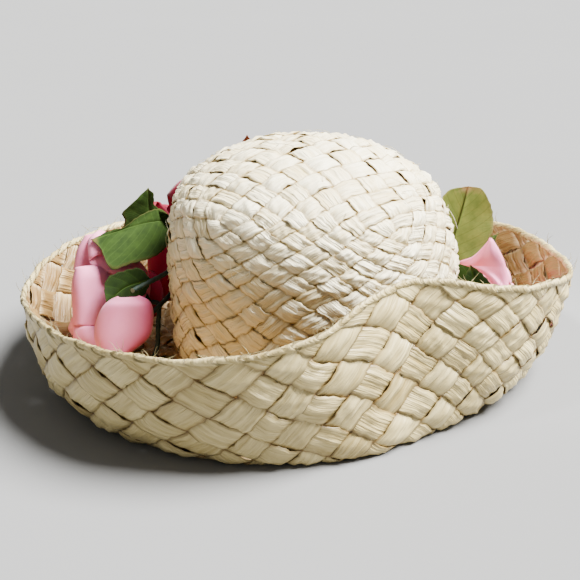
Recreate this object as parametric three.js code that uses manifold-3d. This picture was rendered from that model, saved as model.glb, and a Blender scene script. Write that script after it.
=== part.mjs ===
// Woven straw hat: a domed crown, a wide brim rolled up all the way round, and a garland of cloth
// roses and leaves lying in the trough between them.
// Millimetres, +Z up. The hat rests on the plane z = 0, on the flattened underside of its brim.
// The back of the hat faces -Y. Azimuths turn anticlockwise from +X, seen from above.
import * as THREE from "three";
import { mergeVertices } from "three/addons/utils/BufferGeometryUtils.js";
import Module from "manifold-3d";

const wasm = await Module();
wasm.setup();

const DEG = Math.PI / 180;
const GAP = 0.3; // between pieces that touch

const CROWN_STRAW = 0xe9e2cf;
const BRIM_STRAW = 0xe3dac4;
const PINK = 0xf3a9bd;
const DARK_RED = 0x8c0f2e;
const GREEN = 0x5c7a3a;
const DARK_GREEN = 0x16302a;

// Where the middle of the head opening stands, so that the hat's bounding box is centred on the origin
const AXIS = [9.2, -4.2, 0];

// The head opening: an oval of about 56 cm round inside its 2 mm wall
const CROWN_HALF_WIDTH = 87;
const CROWN_HALF_LENGTH = 94;
const STRAW = 2;
const SEAM_Z = 14; // top of the brim's neck, where the crown is sewn on

const CROWN_FACETS = 48;
const CROWN_RINGS = 13;
const BRIM_FACETS = 60;

// The crown's outer skin from the seam to the middle of the top: height, share of the oval's size,
// and how far the section has moved sideways
const CROWN_SECTIONS = [
  { z: 14.3, share: 0.97, lean: 0 },
  { z: 30, share: 1, lean: 0.7 },
  { z: 52, share: 1.005, lean: 0.3 },
  { z: 76, share: 1, lean: -0.7 },
  { z: 98, share: 0.96, lean: -2.4 },
  { z: 115, share: 0.875, lean: -3.9 },
  { z: 128, share: 0.68, lean: -4 },
  { z: 136, share: 0.475, lean: -3.2 },
  { z: 140.5, share: 0.28, lean: -2.2 },
  { z: 144, share: 0, lean: -1.1 },
];

// The brim's underside at azimuths round the hat: the radius where it leaves the ground, the belly
// of the wall that is rolled up, and the rim. The wall leans in towards the crown near 296 degrees.
const BRIM_SECTIONS = [
  { azimuth: 0, turn: 121, bellyR: 146.5, bellyZ: 20, rimR: 159.5, rimZ: 63 },
  { azimuth: 30, turn: 126, bellyR: 151, bellyZ: 21.5, rimR: 162.5, rimZ: 60 },
  { azimuth: 60, turn: 130.5, bellyR: 155, bellyZ: 20, rimR: 165, rimZ: 54 },
  { azimuth: 90, turn: 134, bellyR: 157, bellyZ: 19, rimR: 169, rimZ: 50 },
  { azimuth: 120, turn: 138.5, bellyR: 162, bellyZ: 18, rimR: 174, rimZ: 50 },
  { azimuth: 150, turn: 142.5, bellyR: 167, bellyZ: 18, rimR: 178.5, rimZ: 54 },
  { azimuth: 180, turn: 145.5, bellyR: 168, bellyZ: 17.5, rimR: 178, rimZ: 53 },
  { azimuth: 200, turn: 146.5, bellyR: 170, bellyZ: 19.5, rimR: 178.3, rimZ: 60 },
  { azimuth: 220, turn: 144.5, bellyR: 170, bellyZ: 21.5, rimR: 177.5, rimZ: 63.3 },
  { azimuth: 240, turn: 141, bellyR: 165, bellyZ: 23.5, rimR: 175.5, rimZ: 67.5 },
  { azimuth: 255, turn: 137.5, bellyR: 158.5, bellyZ: 24.5, rimR: 166.5, rimZ: 71.5 },
  { azimuth: 270, turn: 133, bellyR: 148, bellyZ: 28.5, rimR: 153, rimZ: 79 },
  { azimuth: 284, turn: 128.5, bellyR: 136.5, bellyZ: 32.5, rimR: 131, rimZ: 93 },
  { azimuth: 296, turn: 119.5, bellyR: 127.5, bellyZ: 33, rimR: 121, rimZ: 95 },
  { azimuth: 308, turn: 116, bellyR: 128.5, bellyZ: 28.5, rimR: 127.5, rimZ: 91 },
  { azimuth: 322, turn: 113.5, bellyR: 134, bellyZ: 24, rimR: 141, rimZ: 83 },
  { azimuth: 340, turn: 114, bellyR: 139.5, bellyZ: 22.5, rimR: 151.5, rimZ: 74 },
];
const NECK_OUT = 18; // how far the neck swings out before it lies flat on the ground
const HEM = 1; // extra thickness of the folded edge at the rim

// Every rose has these petals: their place round the rose, half the angle that they span,
// how far they stand out from its middle, and their height
const PETALS = [
  { place: -122, half: 44, reach: 35, height: 34 },
  { place: -58, half: 42, reach: 33, height: 50 },
  { place: 8, half: 45, reach: 32, height: 46 },
  { place: 78, half: 45, reach: 34, height: 42 },
  { place: 150, half: 46, reach: 34, height: 44 },
  { place: -148, half: 46, reach: 26, height: 49 },
  { place: -20, half: 60, reach: 22, height: 47 },
  { place: 100, half: 60, reach: 23, height: 46 },
];
const PETAL_THICK = 1.6;
const PETAL_OVERLAP = 0.07; // one edge of a petal lies this share further out than the other
const PETAL_CURL = 0.05; // both edges curl in by this share
const PETAL_DROOP = 3; // and their tops drop by this much
const CALYX_Z = 4; // petals start this far up the calyx
const STEM_LEAD = 4; // a stem leaves the calyx straight for this far

// Half section of the calyx and the furled bud on it: radius and height
const BUD = [
  { r: 0, z: 0 },
  { r: 3.5, z: 0 },
  { r: 8, z: 7 },
  { r: 10, z: 18 },
  { r: 11, z: 34 },
  { r: 7.5, z: 44 },
  { r: 0, z: 47 },
];
const BUD_FACETS = 9;

// The roses: the foot of the calyx, where the rose faces, its width and its depth
const ROSES = [
  { name: "rose_pink_left", foot: [-102, 4, 37.5], azimuth: 174, lift: 8, wide: 1.05, deep: 0.98 },
  { name: "rose_red_left", foot: [-76, 73, 42], azimuth: 135, lift: 55, wide: 1, deep: 1 },
  { name: "rose_pink_far", foot: [-17, 121, 12], azimuth: 98, lift: 78, wide: 0.84, deep: 0.84 },
  { name: "rose_red_right", foot: [69, 98.5, 13], azimuth: 55, lift: 78, wide: 0.84, deep: 0.84 },
  { name: "rose_pink_right", foot: [97, 9, 37], azimuth: 8, lift: 21, wide: 0.92, deep: 0.7 },
];

// The wired stems. Each starts at the foot of its rose, or at its own first point, and passes
// through the others to a cut end.
const STEM_RADIUS = 1.6;
const STEM_SIDES = 6;
const STEM_STEPS = 8;
const STEMS = [
  {
    name: "stem_red_left",
    rose: "rose_red_left",
    through: [[-80, 55, 44], [-86.5, 34, 52], [-88.2, 15, 57], [-91.5, -2, 59], [-108, -32, 59]],
  },
  {
    name: "stem_leaves_left",
    through: [[-86, 48, 38], [-87.7, 24, 42], [-90, 6, 42], [-102, -20, 36]],
  },
  {
    name: "stem_pink_left",
    rose: "rose_pink_left",
    through: [[-97, -4, 26], [-98, -14, 11], [-106, -30, 4]],
  },
  {
    name: "stem_pink_far",
    rose: "rose_pink_far",
    through: [[-30, 112, 4.2], [-52, 98, 4.2], [-70, 84, 4.2]],
  },
  {
    name: "stem_red_right",
    rose: "rose_red_right",
    through: [[57, 99, 5.4], [38, 107, 4.3], [14, 112, 4]],
  },
  {
    name: "stem_pink_right",
    rose: "rose_pink_right",
    through: [[90.5, 24, 26], [92, 42, 10], [98, 62, 4]],
  },
  {
    name: "stem_leaf_right",
    through: [[104, -10, 4], [107, -26, 4], [102, -44, 4]],
  },
];

// The leaves: the stem that each grows from and how far along it, the tip of the blade, the side
// that it turns up, the share of the length that is bare stalk, half the blade's width, the fold
// along its midrib in degrees, and how far it arches
const LEAF_THICK = 1;
const STALK_HALF = 0.9;
const LEAVES = [
  {
    name: "leaf_left_front",
    stem: "stem_red_left",
    from: 0.3,
    tip: [-133.5, 8, 80],
    up: [-0.2, -0.65, 0.7],
    stalk: 0.2,
    half: 19,
    fold: 12,
    arch: 12,
  },
  {
    name: "leaf_left_up",
    stem: "stem_leaves_left",
    from: 0.03,
    tip: [-110, 46, 98],
    up: [-0.15, -0.9, 0.4],
    stalk: 0.28,
    half: 19,
    fold: 12,
    arch: 3,
  },
  {
    name: "leaf_left_low",
    stem: "stem_red_left",
    from: 0.78,
    tip: [-126.5, -34, 50],
    up: [-0.2, -0.95, 0.25],
    stalk: 0.15,
    half: 11,
    fold: 12,
    arch: -1,
  },
  {
    name: "leaf_left_floor",
    stem: "stem_pink_left",
    from: 0.8,
    tip: [-124, -58, 13],
    up: [0, -0.2, 1],
    stalk: 0.2,
    half: 12,
    fold: 12,
    arch: 5,
  },
  {
    name: "leaf_back_tall",
    stem: "stem_pink_far",
    from: 0.52,
    tip: [-45, 99, 121],
    up: [0, -0.95, 0.3],
    stalk: 0.45,
    half: 14,
    fold: 12,
    arch: -3,
  },
  {
    name: "leaf_far_left",
    stem: "stem_pink_far",
    from: 0.7,
    tip: [-70, 142, 52],
    up: [0, -0.4, 0.9],
    stalk: 0.3,
    half: 13,
    fold: 12,
    arch: 5,
  },
  {
    name: "leaf_far_middle",
    stem: "stem_red_right",
    from: 0.86,
    tip: [31, 150, 50],
    up: [0, -0.6, 0.8],
    stalk: 0.25,
    half: 13,
    fold: 12,
    arch: 6,
  },
  {
    name: "leaf_far_right",
    stem: "stem_pink_right",
    from: 0.85,
    tip: [124, 78, 60],
    up: [-0.6, -0.3, 0.8],
    stalk: 0.25,
    half: 13,
    fold: 12,
    arch: 6,
  },
  {
    name: "leaf_right_up",
    stem: "stem_pink_right",
    from: 0.62,
    tip: [103, 47, 101],
    up: [-0.1, -0.95, 0.2],
    stalk: 0.45,
    half: 16,
    fold: 8,
    arch: -2,
  },
  {
    name: "leaf_right_low",
    stem: "stem_leaf_right",
    from: 0.35,
    tip: [95, -20, 72],
    up: [0.1, -0.95, 0.3],
    stalk: 0.2,
    half: 15,
    fold: 10,
    arch: 0,
  },
];

// One named column of a table as a smooth closed curve of the azimuth, by cubic Hermite spans
function around(rows, key, azimuth) {
  const n = rows.length;
  const row = (i) => rows[((i % n) + n) % n];
  const angle = (i) => row(i).azimuth + 360 * Math.floor(i / n);
  let i = n - 1;
  while (angle(i) > azimuth) i--;
  const slope = (k) => (row(k + 1)[key] - row(k - 1)[key]) / (angle(k + 1) - angle(k - 1));
  const span = angle(i + 1) - angle(i);
  const t = (azimuth - angle(i)) / span;
  const [a, b] = [row(i)[key], row(i + 1)[key]];
  const [ma, mb] = [slope(i) * span, slope(i + 1) * span];
  return a + t * ma + t * t * (3 * (b - a) - 2 * ma - mb) + t * t * t * (2 * (a - b) + ma + mb);
}

// A geometry with its shared points merged and the triangles that collapsed left out
function welded(position, index) {
  const loose = new THREE.BufferGeometry()
    .setAttribute("position", new THREE.Float32BufferAttribute(position, 3))
    .setIndex(index);
  const merged = mergeVertices(loose, 1e-3);
  const kept = [];
  for (let i = 0; i < merged.index.count; i += 3) {
    const [a, b, c] = [0, 1, 2].map((k) => merged.index.getX(i + k));
    if (a !== b && b !== c && c !== a) kept.push(a, b, c);
  }
  merged.setIndex(kept);
  return merged;
}

// A closed mesh from rows of points, each row a ring. The last row joins the first if looped,
// and otherwise the first and last rows each lie on one point.
function loft(rows, looped) {
  const count = rows[0].length;
  const position = rows.flat().flatMap((p) => [p.x, p.y, p.z]);
  const index = [];
  for (let i = 0; i < rows.length - (looped ? 0 : 1); i++) {
    const next = (i + 1) % rows.length;
    for (let j = 0; j < count; j++) {
      const k = (j + 1) % count;
      const [a, b, c, d] = [i * count + j, i * count + k, next * count + k, next * count + j];
      index.push(a, b, c, a, c, d);
    }
  }
  return welded(position, index);
}

// A sheet of cloth from point(across, along), thick in the middle and thin at its edges
function sheet(point, acrossSteps, alongSteps, thickness) {
  const grid = [];
  for (let i = 0; i <= alongSteps; i++) {
    const row = [];
    for (let j = 0; j <= acrossSteps; j++) {
      row.push(point((2 * j) / acrossSteps - 1, i / alongSteps));
    }
    grid.push(row);
  }
  const within = (k, most) => Math.min(most, Math.max(0, k));
  const at = (i, j) => grid[within(i, alongSteps)][within(j, acrossSteps)];
  const position = [];
  for (const side of [1, -1]) {
    for (let i = 0; i <= alongSteps; i++) {
      for (let j = 0; j <= acrossSteps; j++) {
        const along = at(i + 1, j).clone().sub(at(i - 1, j));
        const across = at(i, j + 1).clone().sub(at(i, j - 1));
        const normal = across.cross(along).normalize();
        const edge = i === 0 || i === alongSteps || j === 0 || j === acrossSteps;
        const p = at(i, j).clone().addScaledVector(normal, edge ? 0 : (side * thickness) / 2);
        position.push(p.x, p.y, p.z);
      }
    }
  }
  const index = [];
  const width = acrossSteps + 1;
  const back = width * (alongSteps + 1);
  for (let i = 0; i < alongSteps; i++) {
    for (let j = 0; j < acrossSteps; j++) {
      const a = i * width + j;
      const [b, c, d] = [a + 1, a + width + 1, a + width];
      index.push(a, b, c, a, c, d);
      index.push(back + a, back + c, back + b, back + a, back + d, back + c);
    }
  }
  return welded(position, index);
}

// Several closed geometries joined into one
function joined(geometries) {
  const solids = geometries.map((geometry) => {
    const vertProperties = geometry.attributes.position.array;
    const triVerts = new Uint32Array(geometry.index.array);
    return new wasm.Manifold(new wasm.Mesh({ numProp: 3, vertProperties, triVerts }));
  });
  const mesh = solids.reduce((a, b) => a.add(b)).getMesh();
  return new THREE.BufferGeometry()
    .setAttribute("position", new THREE.BufferAttribute(mesh.vertProperties, 3))
    .setIndex(new THREE.BufferAttribute(mesh.triVerts, 1));
}

// The crown: an inner and an outer skin of oval rings, joined at the seam
function crownGeometry() {
  const points = CROWN_SECTIONS.map(
    (s) => new THREE.Vector3(s.share * CROWN_HALF_WIDTH, s.z, s.lean),
  );
  const outer = new THREE.CatmullRomCurve3(points).getSpacedPoints(CROWN_RINGS);
  const inner = outer.map((p, i) => {
    const before = outer[Math.max(0, i - 1)];
    const after = outer[Math.min(CROWN_RINGS, i + 1)];
    const normal = new THREE.Vector3(after.y - before.y, before.x - after.x, 0).normalize();
    if (i === 0) normal.set(1, 0, 0);
    if (i === CROWN_RINGS) normal.set(0, 1, 0);
    return p.clone().addScaledVector(normal, -STRAW);
  });
  const stretch = CROWN_HALF_LENGTH / CROWN_HALF_WIDTH;
  const ring = (p) =>
    Array.from({ length: CROWN_FACETS }, (_, k) => {
      const angle = (2 * Math.PI * k) / CROWN_FACETS;
      return new THREE.Vector3(p.z + p.x * Math.cos(angle), p.x * stretch * Math.sin(angle), p.y);
    });
  return loft([...inner.reverse(), ...outer].map(ring), false);
}

// The underside of the brim at one azimuth, from the neck to the rim, as points (radius, height)
function brimPath(azimuth) {
  const column = (key) => around(BRIM_SECTIONS, key, azimuth);
  const at = (r, z) => new THREE.Vector2(r, z);
  const cosine = Math.cos(azimuth * DEG) / CROWN_HALF_WIDTH;
  const sine = Math.sin(azimuth * DEG) / CROWN_HALF_LENGTH;
  const neck = at(CROWN_SECTIONS[0].share / Math.hypot(cosine, sine) - STRAW, SEAM_Z);
  const foot = at(neck.x + NECK_OUT, 0);
  const turn = at(column("turn"), 0);
  const belly = at(column("bellyR"), column("bellyZ"));
  const rim = at(column("rimR"), column("rimZ"));
  const low = belly.distanceTo(turn);
  const high = rim.distanceTo(belly);
  const chord = rim.clone().sub(turn).normalize();
  const last = rim.clone().sub(belly).normalize();
  const neckCurve = new THREE.CubicBezierCurve(
    neck,
    at(neck.x, SEAM_Z * 0.4),
    at(neck.x + NECK_OUT * 0.3, 0),
    foot,
  );
  const ground = new THREE.LineCurve(foot, turn);
  const bellyCurve = new THREE.CubicBezierCurve(
    turn,
    at(turn.x + low * 0.4, 0),
    belly.clone().addScaledVector(chord, -low / 3),
    belly,
  );
  const wall = new THREE.CubicBezierCurve(
    belly,
    belly.clone().addScaledVector(chord, high / 3),
    rim.clone().addScaledVector(last, -high / 3),
    rim,
  );
  const points = [neck];
  for (const [curve, steps] of [[neckCurve, 3], [ground, 1], [bellyCurve, 3], [wall, 4]]) {
    for (let i = 1; i <= steps; i++) points.push(curve.getPoint(i / steps));
  }
  return points;
}

function brimGeometry() {
  const rows = [];
  for (let k = 0; k < BRIM_FACETS; k++) {
    const azimuth = (360 * k) / BRIM_FACETS;
    const under = brimPath(azimuth);
    const last = under.length - 1;
    const upper = under.map((p, i) => {
      const along = under[Math.min(last, i + 1)].clone().sub(under[Math.max(0, i - 1)]).normalize();
      if (i === 0) along.set(0, -1);
      const thickness = i === last ? STRAW + HEM : STRAW;
      return new THREE.Vector2(p.x - along.y * thickness, p.y + along.x * thickness);
    });
    const place = (p) =>
      new THREE.Vector3(p.x * Math.cos(azimuth * DEG), p.x * Math.sin(azimuth * DEG), p.y);
    rows.push([...upper, ...under.reverse()].map(place));
  }
  return loft(rows, true);
}

// One petal: it rises from the foot of the rose like the side of a cup, and its lip rolls outwards
function petalGeometry({ place, half, reach, height }) {
  const side = new THREE.CubicBezierCurve(
    new THREE.Vector2(3, CALYX_Z),
    new THREE.Vector2(reach * 1.2, -0.05 * height),
    new THREE.Vector2(reach * 0.6, height * 1.3),
    new THREE.Vector2(reach * 1.12, height * 0.9),
  );
  const point = (u, v) => {
    const p = side.getPoint(v);
    const angle = (place + u * half * Math.sin(Math.PI * (0.12 + 0.76 * v))) * DEG;
    const radius = p.x * (1 + PETAL_OVERLAP * u - PETAL_CURL * u * u);
    const z = p.y - PETAL_DROOP * u * u * v;
    return new THREE.Vector3(radius * Math.cos(angle), radius * Math.sin(angle), z);
  };
  return sheet(point, 4, 4, PETAL_THICK);
}

function roseGeometry() {
  const profile = BUD.map((p) => new THREE.Vector2(p.r, p.z));
  const bud = new THREE.LatheGeometry(profile, BUD_FACETS).rotateX(Math.PI / 2);
  const core = welded([...bud.attributes.position.array], [...bud.index.array]);
  return joined([core, ...PETALS.map(petalGeometry)]);
}

// The way that a rose faces
function facing({ azimuth, lift }) {
  const flat = Math.cos(lift * DEG);
  return new THREE.Vector3(
    flat * Math.cos(azimuth * DEG),
    flat * Math.sin(azimuth * DEG),
    Math.sin(lift * DEG),
  );
}

// A stem's middle line: straight out of the foot of its rose, then through its own points
function stemCurve(stem) {
  const through = stem.through.map((p) => new THREE.Vector3(...p));
  const rose = ROSES.find((r) => r.name === stem.rose);
  if (rose) {
    const foot = new THREE.Vector3(...rose.foot).addScaledVector(facing(rose), -GAP);
    const out = foot.clone().addScaledVector(facing(rose), -STEM_LEAD);
    through.unshift(foot, out);
  }
  return new THREE.CatmullRomCurve3(through);
}

function stemGeometry(stem) {
  const corners = Array.from({ length: STEM_SIDES }, (_, k) => {
    const angle = (2 * Math.PI * k) / STEM_SIDES;
    return new THREE.Vector2(STEM_RADIUS * Math.cos(angle), STEM_RADIUS * Math.sin(angle));
  });
  const tube = new THREE.ExtrudeGeometry(new THREE.Shape(corners), {
    steps: STEM_STEPS,
    bevelEnabled: false,
    extrudePath: stemCurve(stem),
  });
  const position = [...tube.attributes.position.array];
  return welded(position, position.map((_, i) => i).slice(0, position.length / 3));
}

// A leaf: a stalk that stands off its stem, and a blade folded along its midrib
function leafGeometry(leaf) {
  const stem = stemCurve(STEMS.find((s) => s.name === leaf.stem));
  const tip = new THREE.Vector3(...leaf.tip);
  const root = stem.getPointAt(leaf.from);
  const away = tip.clone().sub(root).normalize();
  const tangent = stem.getTangentAt(leaf.from);
  away.addScaledVector(tangent, -away.dot(tangent)).normalize();
  const foot = root.addScaledVector(away, STEM_RADIUS + GAP);
  const length = tip.distanceTo(foot);
  const along = tip.clone().sub(foot).normalize();
  const up = new THREE.Vector3(...leaf.up);
  up.addScaledVector(along, -up.dot(along)).normalize();
  const across = along.clone().cross(up);
  const point = (u, v) => {
    const blade = Math.max(0, (v - leaf.stalk) / (1 - leaf.stalk));
    const outline = leaf.half * Math.sin(Math.PI * blade ** 0.85) ** 0.7;
    const half = Math.max(outline, STALK_HALF * (v === 0 ? 0.5 : 1 - blade));
    const rise = leaf.arch * 4 * v * (1 - v) + Math.abs(u) * half * Math.sin(leaf.fold * DEG);
    return foot
      .clone()
      .addScaledVector(along, v * length)
      .addScaledVector(across, u * half * Math.cos(leaf.fold * DEG))
      .addScaledVector(up, rise);
  };
  return sheet(point, 2, 9, LEAF_THICK);
}

const hat = new THREE.Group();
const work = new THREE.Group();
work.position.set(...AXIS);
hat.add(work);

// A named piece of the hat in a plain material
function add(name, geometry, color, roughness) {
  geometry.computeVertexNormals();
  const material = new THREE.MeshStandardMaterial({ color, roughness, metalness: 0 });
  const mesh = new THREE.Mesh(geometry, material);
  mesh.name = name;
  work.add(mesh);
  return mesh;
}

add("crown", crownGeometry(), CROWN_STRAW, 0.55);
add("brim", brimGeometry(), BRIM_STRAW, 0.6);

for (const rose of ROSES) {
  const colour = rose.name.includes("pink") ? PINK : DARK_RED;
  const mesh = add(rose.name, roseGeometry(), colour, 0.9);
  mesh.quaternion.setFromUnitVectors(new THREE.Vector3(0, 0, 1), facing(rose));
  mesh.position.set(...rose.foot);
  mesh.scale.set(rose.wide, rose.wide, rose.deep);
}
for (const stem of STEMS) add(stem.name, stemGeometry(stem), DARK_GREEN, 0.7);
for (const leaf of LEAVES) add(leaf.name, leafGeometry(leaf), GREEN, 0.75);

export default hat;
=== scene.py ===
# %% [markdown]
# # A woven straw hat with a garland of cloth roses
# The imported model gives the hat's true size and place. This script builds what dresses it, in the
# same frame: the woven strips of straw, the folded edge of the brim, and the petals, leaves and
# stems of the garland. Then it sets a camera, a pale floor and soft light round the hat.
#
# The hat could be one smooth sheet with the weave in its bump map. That reads well from afar, but
# its outline would be a clean curve, where real straw has a knobbly one with gaps that go through.
# So the straw is built strip by strip, and bump is left for what is finer than a millimetre.

# %% Load the frame
import math

import bpy
import numpy as np
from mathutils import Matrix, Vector, kdtree


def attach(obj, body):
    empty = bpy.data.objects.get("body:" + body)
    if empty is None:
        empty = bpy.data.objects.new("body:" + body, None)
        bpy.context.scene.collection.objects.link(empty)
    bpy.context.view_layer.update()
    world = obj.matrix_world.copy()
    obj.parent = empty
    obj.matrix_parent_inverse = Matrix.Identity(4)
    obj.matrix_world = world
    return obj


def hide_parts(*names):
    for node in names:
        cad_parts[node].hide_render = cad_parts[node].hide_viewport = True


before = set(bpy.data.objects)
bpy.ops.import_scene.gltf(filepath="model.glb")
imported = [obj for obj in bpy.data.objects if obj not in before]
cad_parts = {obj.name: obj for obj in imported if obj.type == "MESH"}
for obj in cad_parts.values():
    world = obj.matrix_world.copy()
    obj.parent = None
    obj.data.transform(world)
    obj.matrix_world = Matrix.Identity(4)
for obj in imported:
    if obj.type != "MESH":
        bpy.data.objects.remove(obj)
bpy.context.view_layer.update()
MM = 0.001  # metres
AXIS = np.array([9.2, -4.2, 0.0])  # mm, the middle of the head opening, from which all is measured

# %% [markdown]
# ## Lines and grids
# Every length below is in millimetres until a mesh is made, and every random number comes from one
# seeded generator, so the hat is the same each time. Blender's own curves and modifiers could give
# these shapes too. Arrays of points were chosen, because one line of sums then bends a whole sheet.

# %% Directions and faces
random = np.random.default_rng(7)
MM_TO_UV = 0.01  # the UV is in decimetres, so that a pattern's scale is a number of waves in 100 mm


def unit(vectors):
    """The same directions with a length of one."""
    return vectors / np.maximum(np.linalg.norm(vectors, axis=-1, keepdims=True), 1e-9)


def grid_faces(rows, columns, closed=False, ring=False):
    """Four-sided faces over a grid of points, closed round its columns or its rows where asked."""
    index = np.arange(rows * columns).reshape(rows, columns)
    if ring:
        index = np.vstack([index, index[:1]])
    if closed:
        index = np.hstack([index, index[:, :1]])
    corners = [index[:-1, :-1], index[:-1, 1:], index[1:, 1:], index[1:, :-1]]
    return np.stack(corners, -1).reshape(-1, 4)


print("3 by 3 points make", len(grid_faces(3, 3)), "faces")

# %% Smooth lines
SPAN_STEPS = 40  # points worked out between two given ones


def evenly(path, count):
    """The same path with its points evenly spaced, and its length."""
    steps = np.linalg.norm(np.diff(path, axis=0), axis=1)
    length = np.concatenate([[0], np.cumsum(steps)])
    even = np.linspace(0, length[-1], count)
    return np.stack([np.interp(even, length, column) for column in path.T], 1), length[-1]


def smooth_line(points, count):
    """Points evenly spaced along a smooth curve through the given ones, and its length."""
    points = np.array(points, float)
    padded = np.vstack([2 * points[0] - points[1], points, 2 * points[-1] - points[-2]])
    gaps = np.linalg.norm(np.diff(padded, axis=0), axis=1) ** 0.5
    path = []
    for k in range(1, len(padded) - 2):
        p0, p1, p2, p3 = padded[k - 1:k + 3]
        d0, d1, d2 = gaps[k - 1:k + 2]
        m1 = ((p1 - p0) / d0 - (p2 - p0) / (d0 + d1) + (p2 - p1) / d1) * d1
        m2 = ((p2 - p1) / d1 - (p3 - p1) / (d1 + d2) + (p3 - p2) / d2) * d1
        square, cube = 3 * (p2 - p1) - 2 * m1 - m2, 2 * (p1 - p2) + m1 + m2
        for t in np.linspace(0, 1, SPAN_STEPS, endpoint=False):
            path.append(p1 + t * m1 + t**2 * square + t**3 * cube)
    return evenly(np.array(path + [points[-1]]), count)


def bezier(a, b, c, d, t):
    """Points of a cubic curve from a to d."""
    t = t[:, None]
    return (1 - t)**3 * a + 3 * t * (1 - t)**2 * b + 3 * t**2 * (1 - t) * c + t**3 * d


print("seeded generator and %d steps to a span" % SPAN_STEPS)

# %% [markdown]
# ## From points to a piece
# A piece is gathered as sheets: each is a grid of points with its faces, its UV and a few named
# values, such as how deep in a gap a point lies. The values become attributes of the mesh, where a
# material reads them. That keeps colour on the surface itself, so it looks right from every side.

# %% A mesh from points and faces
class Shape:
    """Points, faces, UV and named values of one piece, gathered sheet by sheet."""

    def __init__(self):
        self.points, self.faces, self.uv, self.look, self.values = [], [], [], [], []
        self.count = 0

    def add(self, points, faces, uv, look=0, **values):
        """Adds one sheet. look is the number of the material that its faces wear."""
        points = np.asarray(points, float).reshape(-1, 3)
        self.points.append(points)
        self.faces.append(np.asarray(faces, int).reshape(-1, 4) + self.count)
        self.uv.append(np.asarray(uv, float).reshape(-1, 2))
        self.look.append(np.full(len(self.faces[-1]), look))
        self.values.append(values)
        self.count += len(points)

    def build(self, name, materials):
        """The Blender object, in metres. Points are measured from the middle of the head opening."""
        points = (np.concatenate(self.points) + AXIS) * MM
        faces = np.concatenate(self.faces)
        mesh = bpy.data.meshes.new(name)
        mesh.vertices.add(len(points))
        mesh.vertices.foreach_set("co", points.ravel())
        mesh.loops.add(faces.size)
        mesh.loops.foreach_set("vertex_index", faces.ravel())
        mesh.polygons.add(len(faces))
        mesh.polygons.foreach_set("loop_start", np.arange(len(faces)) * 4)
        mesh.polygons.foreach_set("use_smooth", np.ones(len(faces), bool))
        mesh.polygons.foreach_set("material_index", np.concatenate(self.look))
        layer = mesh.uv_layers.new(name="UVMap")
        layer.data.foreach_set("uv", np.concatenate(self.uv)[faces.ravel()].ravel())
        for key in sorted(set().union(*self.values)):
            sheets = zip(self.points, self.values)
            value = [np.broadcast_to(np.ravel(own.get(key, 0)), len(sheet)) for sheet, own in sheets]
            attribute = mesh.attributes.new(key, "FLOAT", "POINT")
            attribute.data.foreach_set("value", np.concatenate(value).astype(float))
        mesh.update(calc_edges=True)
        mesh.validate()
        for material in materials:
            mesh.materials.append(material)
        thing = bpy.data.objects.new(name, mesh)
        bpy.context.scene.collection.objects.link(thing)
        return thing


print("a new shape has", Shape().count, "points")

# %% Thickness and body of a piece
def finish_piece(piece, node, thickness=0):
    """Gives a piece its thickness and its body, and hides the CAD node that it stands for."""
    if thickness:
        solid = piece.modifiers.new("thickness", "SOLIDIFY")
        solid.thickness = thickness * MM
        solid.offset = 0
    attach(piece, "root")
    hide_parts(node)


print("nodes to dress", len(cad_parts))

# %% [markdown]
# ## The form of the hat
# The crown is an oval dome. The brim leaves it in a narrow neck, lies flat on the table and is then
# rolled up all round, high at the back right where it is folded in against the crown. Both forms
# follow the same named sections as the solids. The CAD meshes could be copied and bent instead, but
# a weave needs to know where any place of a flat pattern lies, and only a formula gives that.

# %% The crown's form
HALF_WIDTH, HALF_LENGTH = 87.0, 94.0  # the oval of the head
STRAW, SEAM_Z = 2.0, 14.0  # thickness of the straw, height of the seam with the brim
SIDE_POINTS = 400
CROWN_SECTIONS = [  # height, share of the oval, sideways lean
    (14.3, 0.97, 0), (30, 1, 0.7), (52, 1.005, 0.3), (76, 1, -0.7), (98, 0.96, -2.4),
    (115, 0.875, -3.9), (128, 0.68, -4), (136, 0.475, -3.2), (140.5, 0.28, -2.2), (144, 0, -1.1),
]
crown_side = [(share * HALF_WIDTH, z, lean) for z, share, lean in CROWN_SECTIONS]
crown_side, CROWN_ARC = smooth_line(crown_side, SIDE_POINTS)
crown_side = crown_side[::-1]  # from the middle of the top down to the seam


def crown_at(flat):
    """The crown's wall at a point of its flat pattern, the middle of the top being the origin."""
    angle = np.arctan2(flat[..., 1], flat[..., 0])
    arc = np.hypot(flat[..., 0], flat[..., 1])
    share = np.clip(arc / CROWN_ARC, 0, 1) * (len(crown_side) - 1)
    line = np.arange(len(crown_side))
    r, z, lean = (np.interp(share, line, crown_side[:, k]) for k in range(3))
    length = r * HALF_LENGTH / HALF_WIDTH
    return np.stack([lean + r * np.cos(angle), length * np.sin(angle), z], -1)


print("crown, from the middle of the top to the seam: %.0f mm" % CROWN_ARC)

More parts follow.
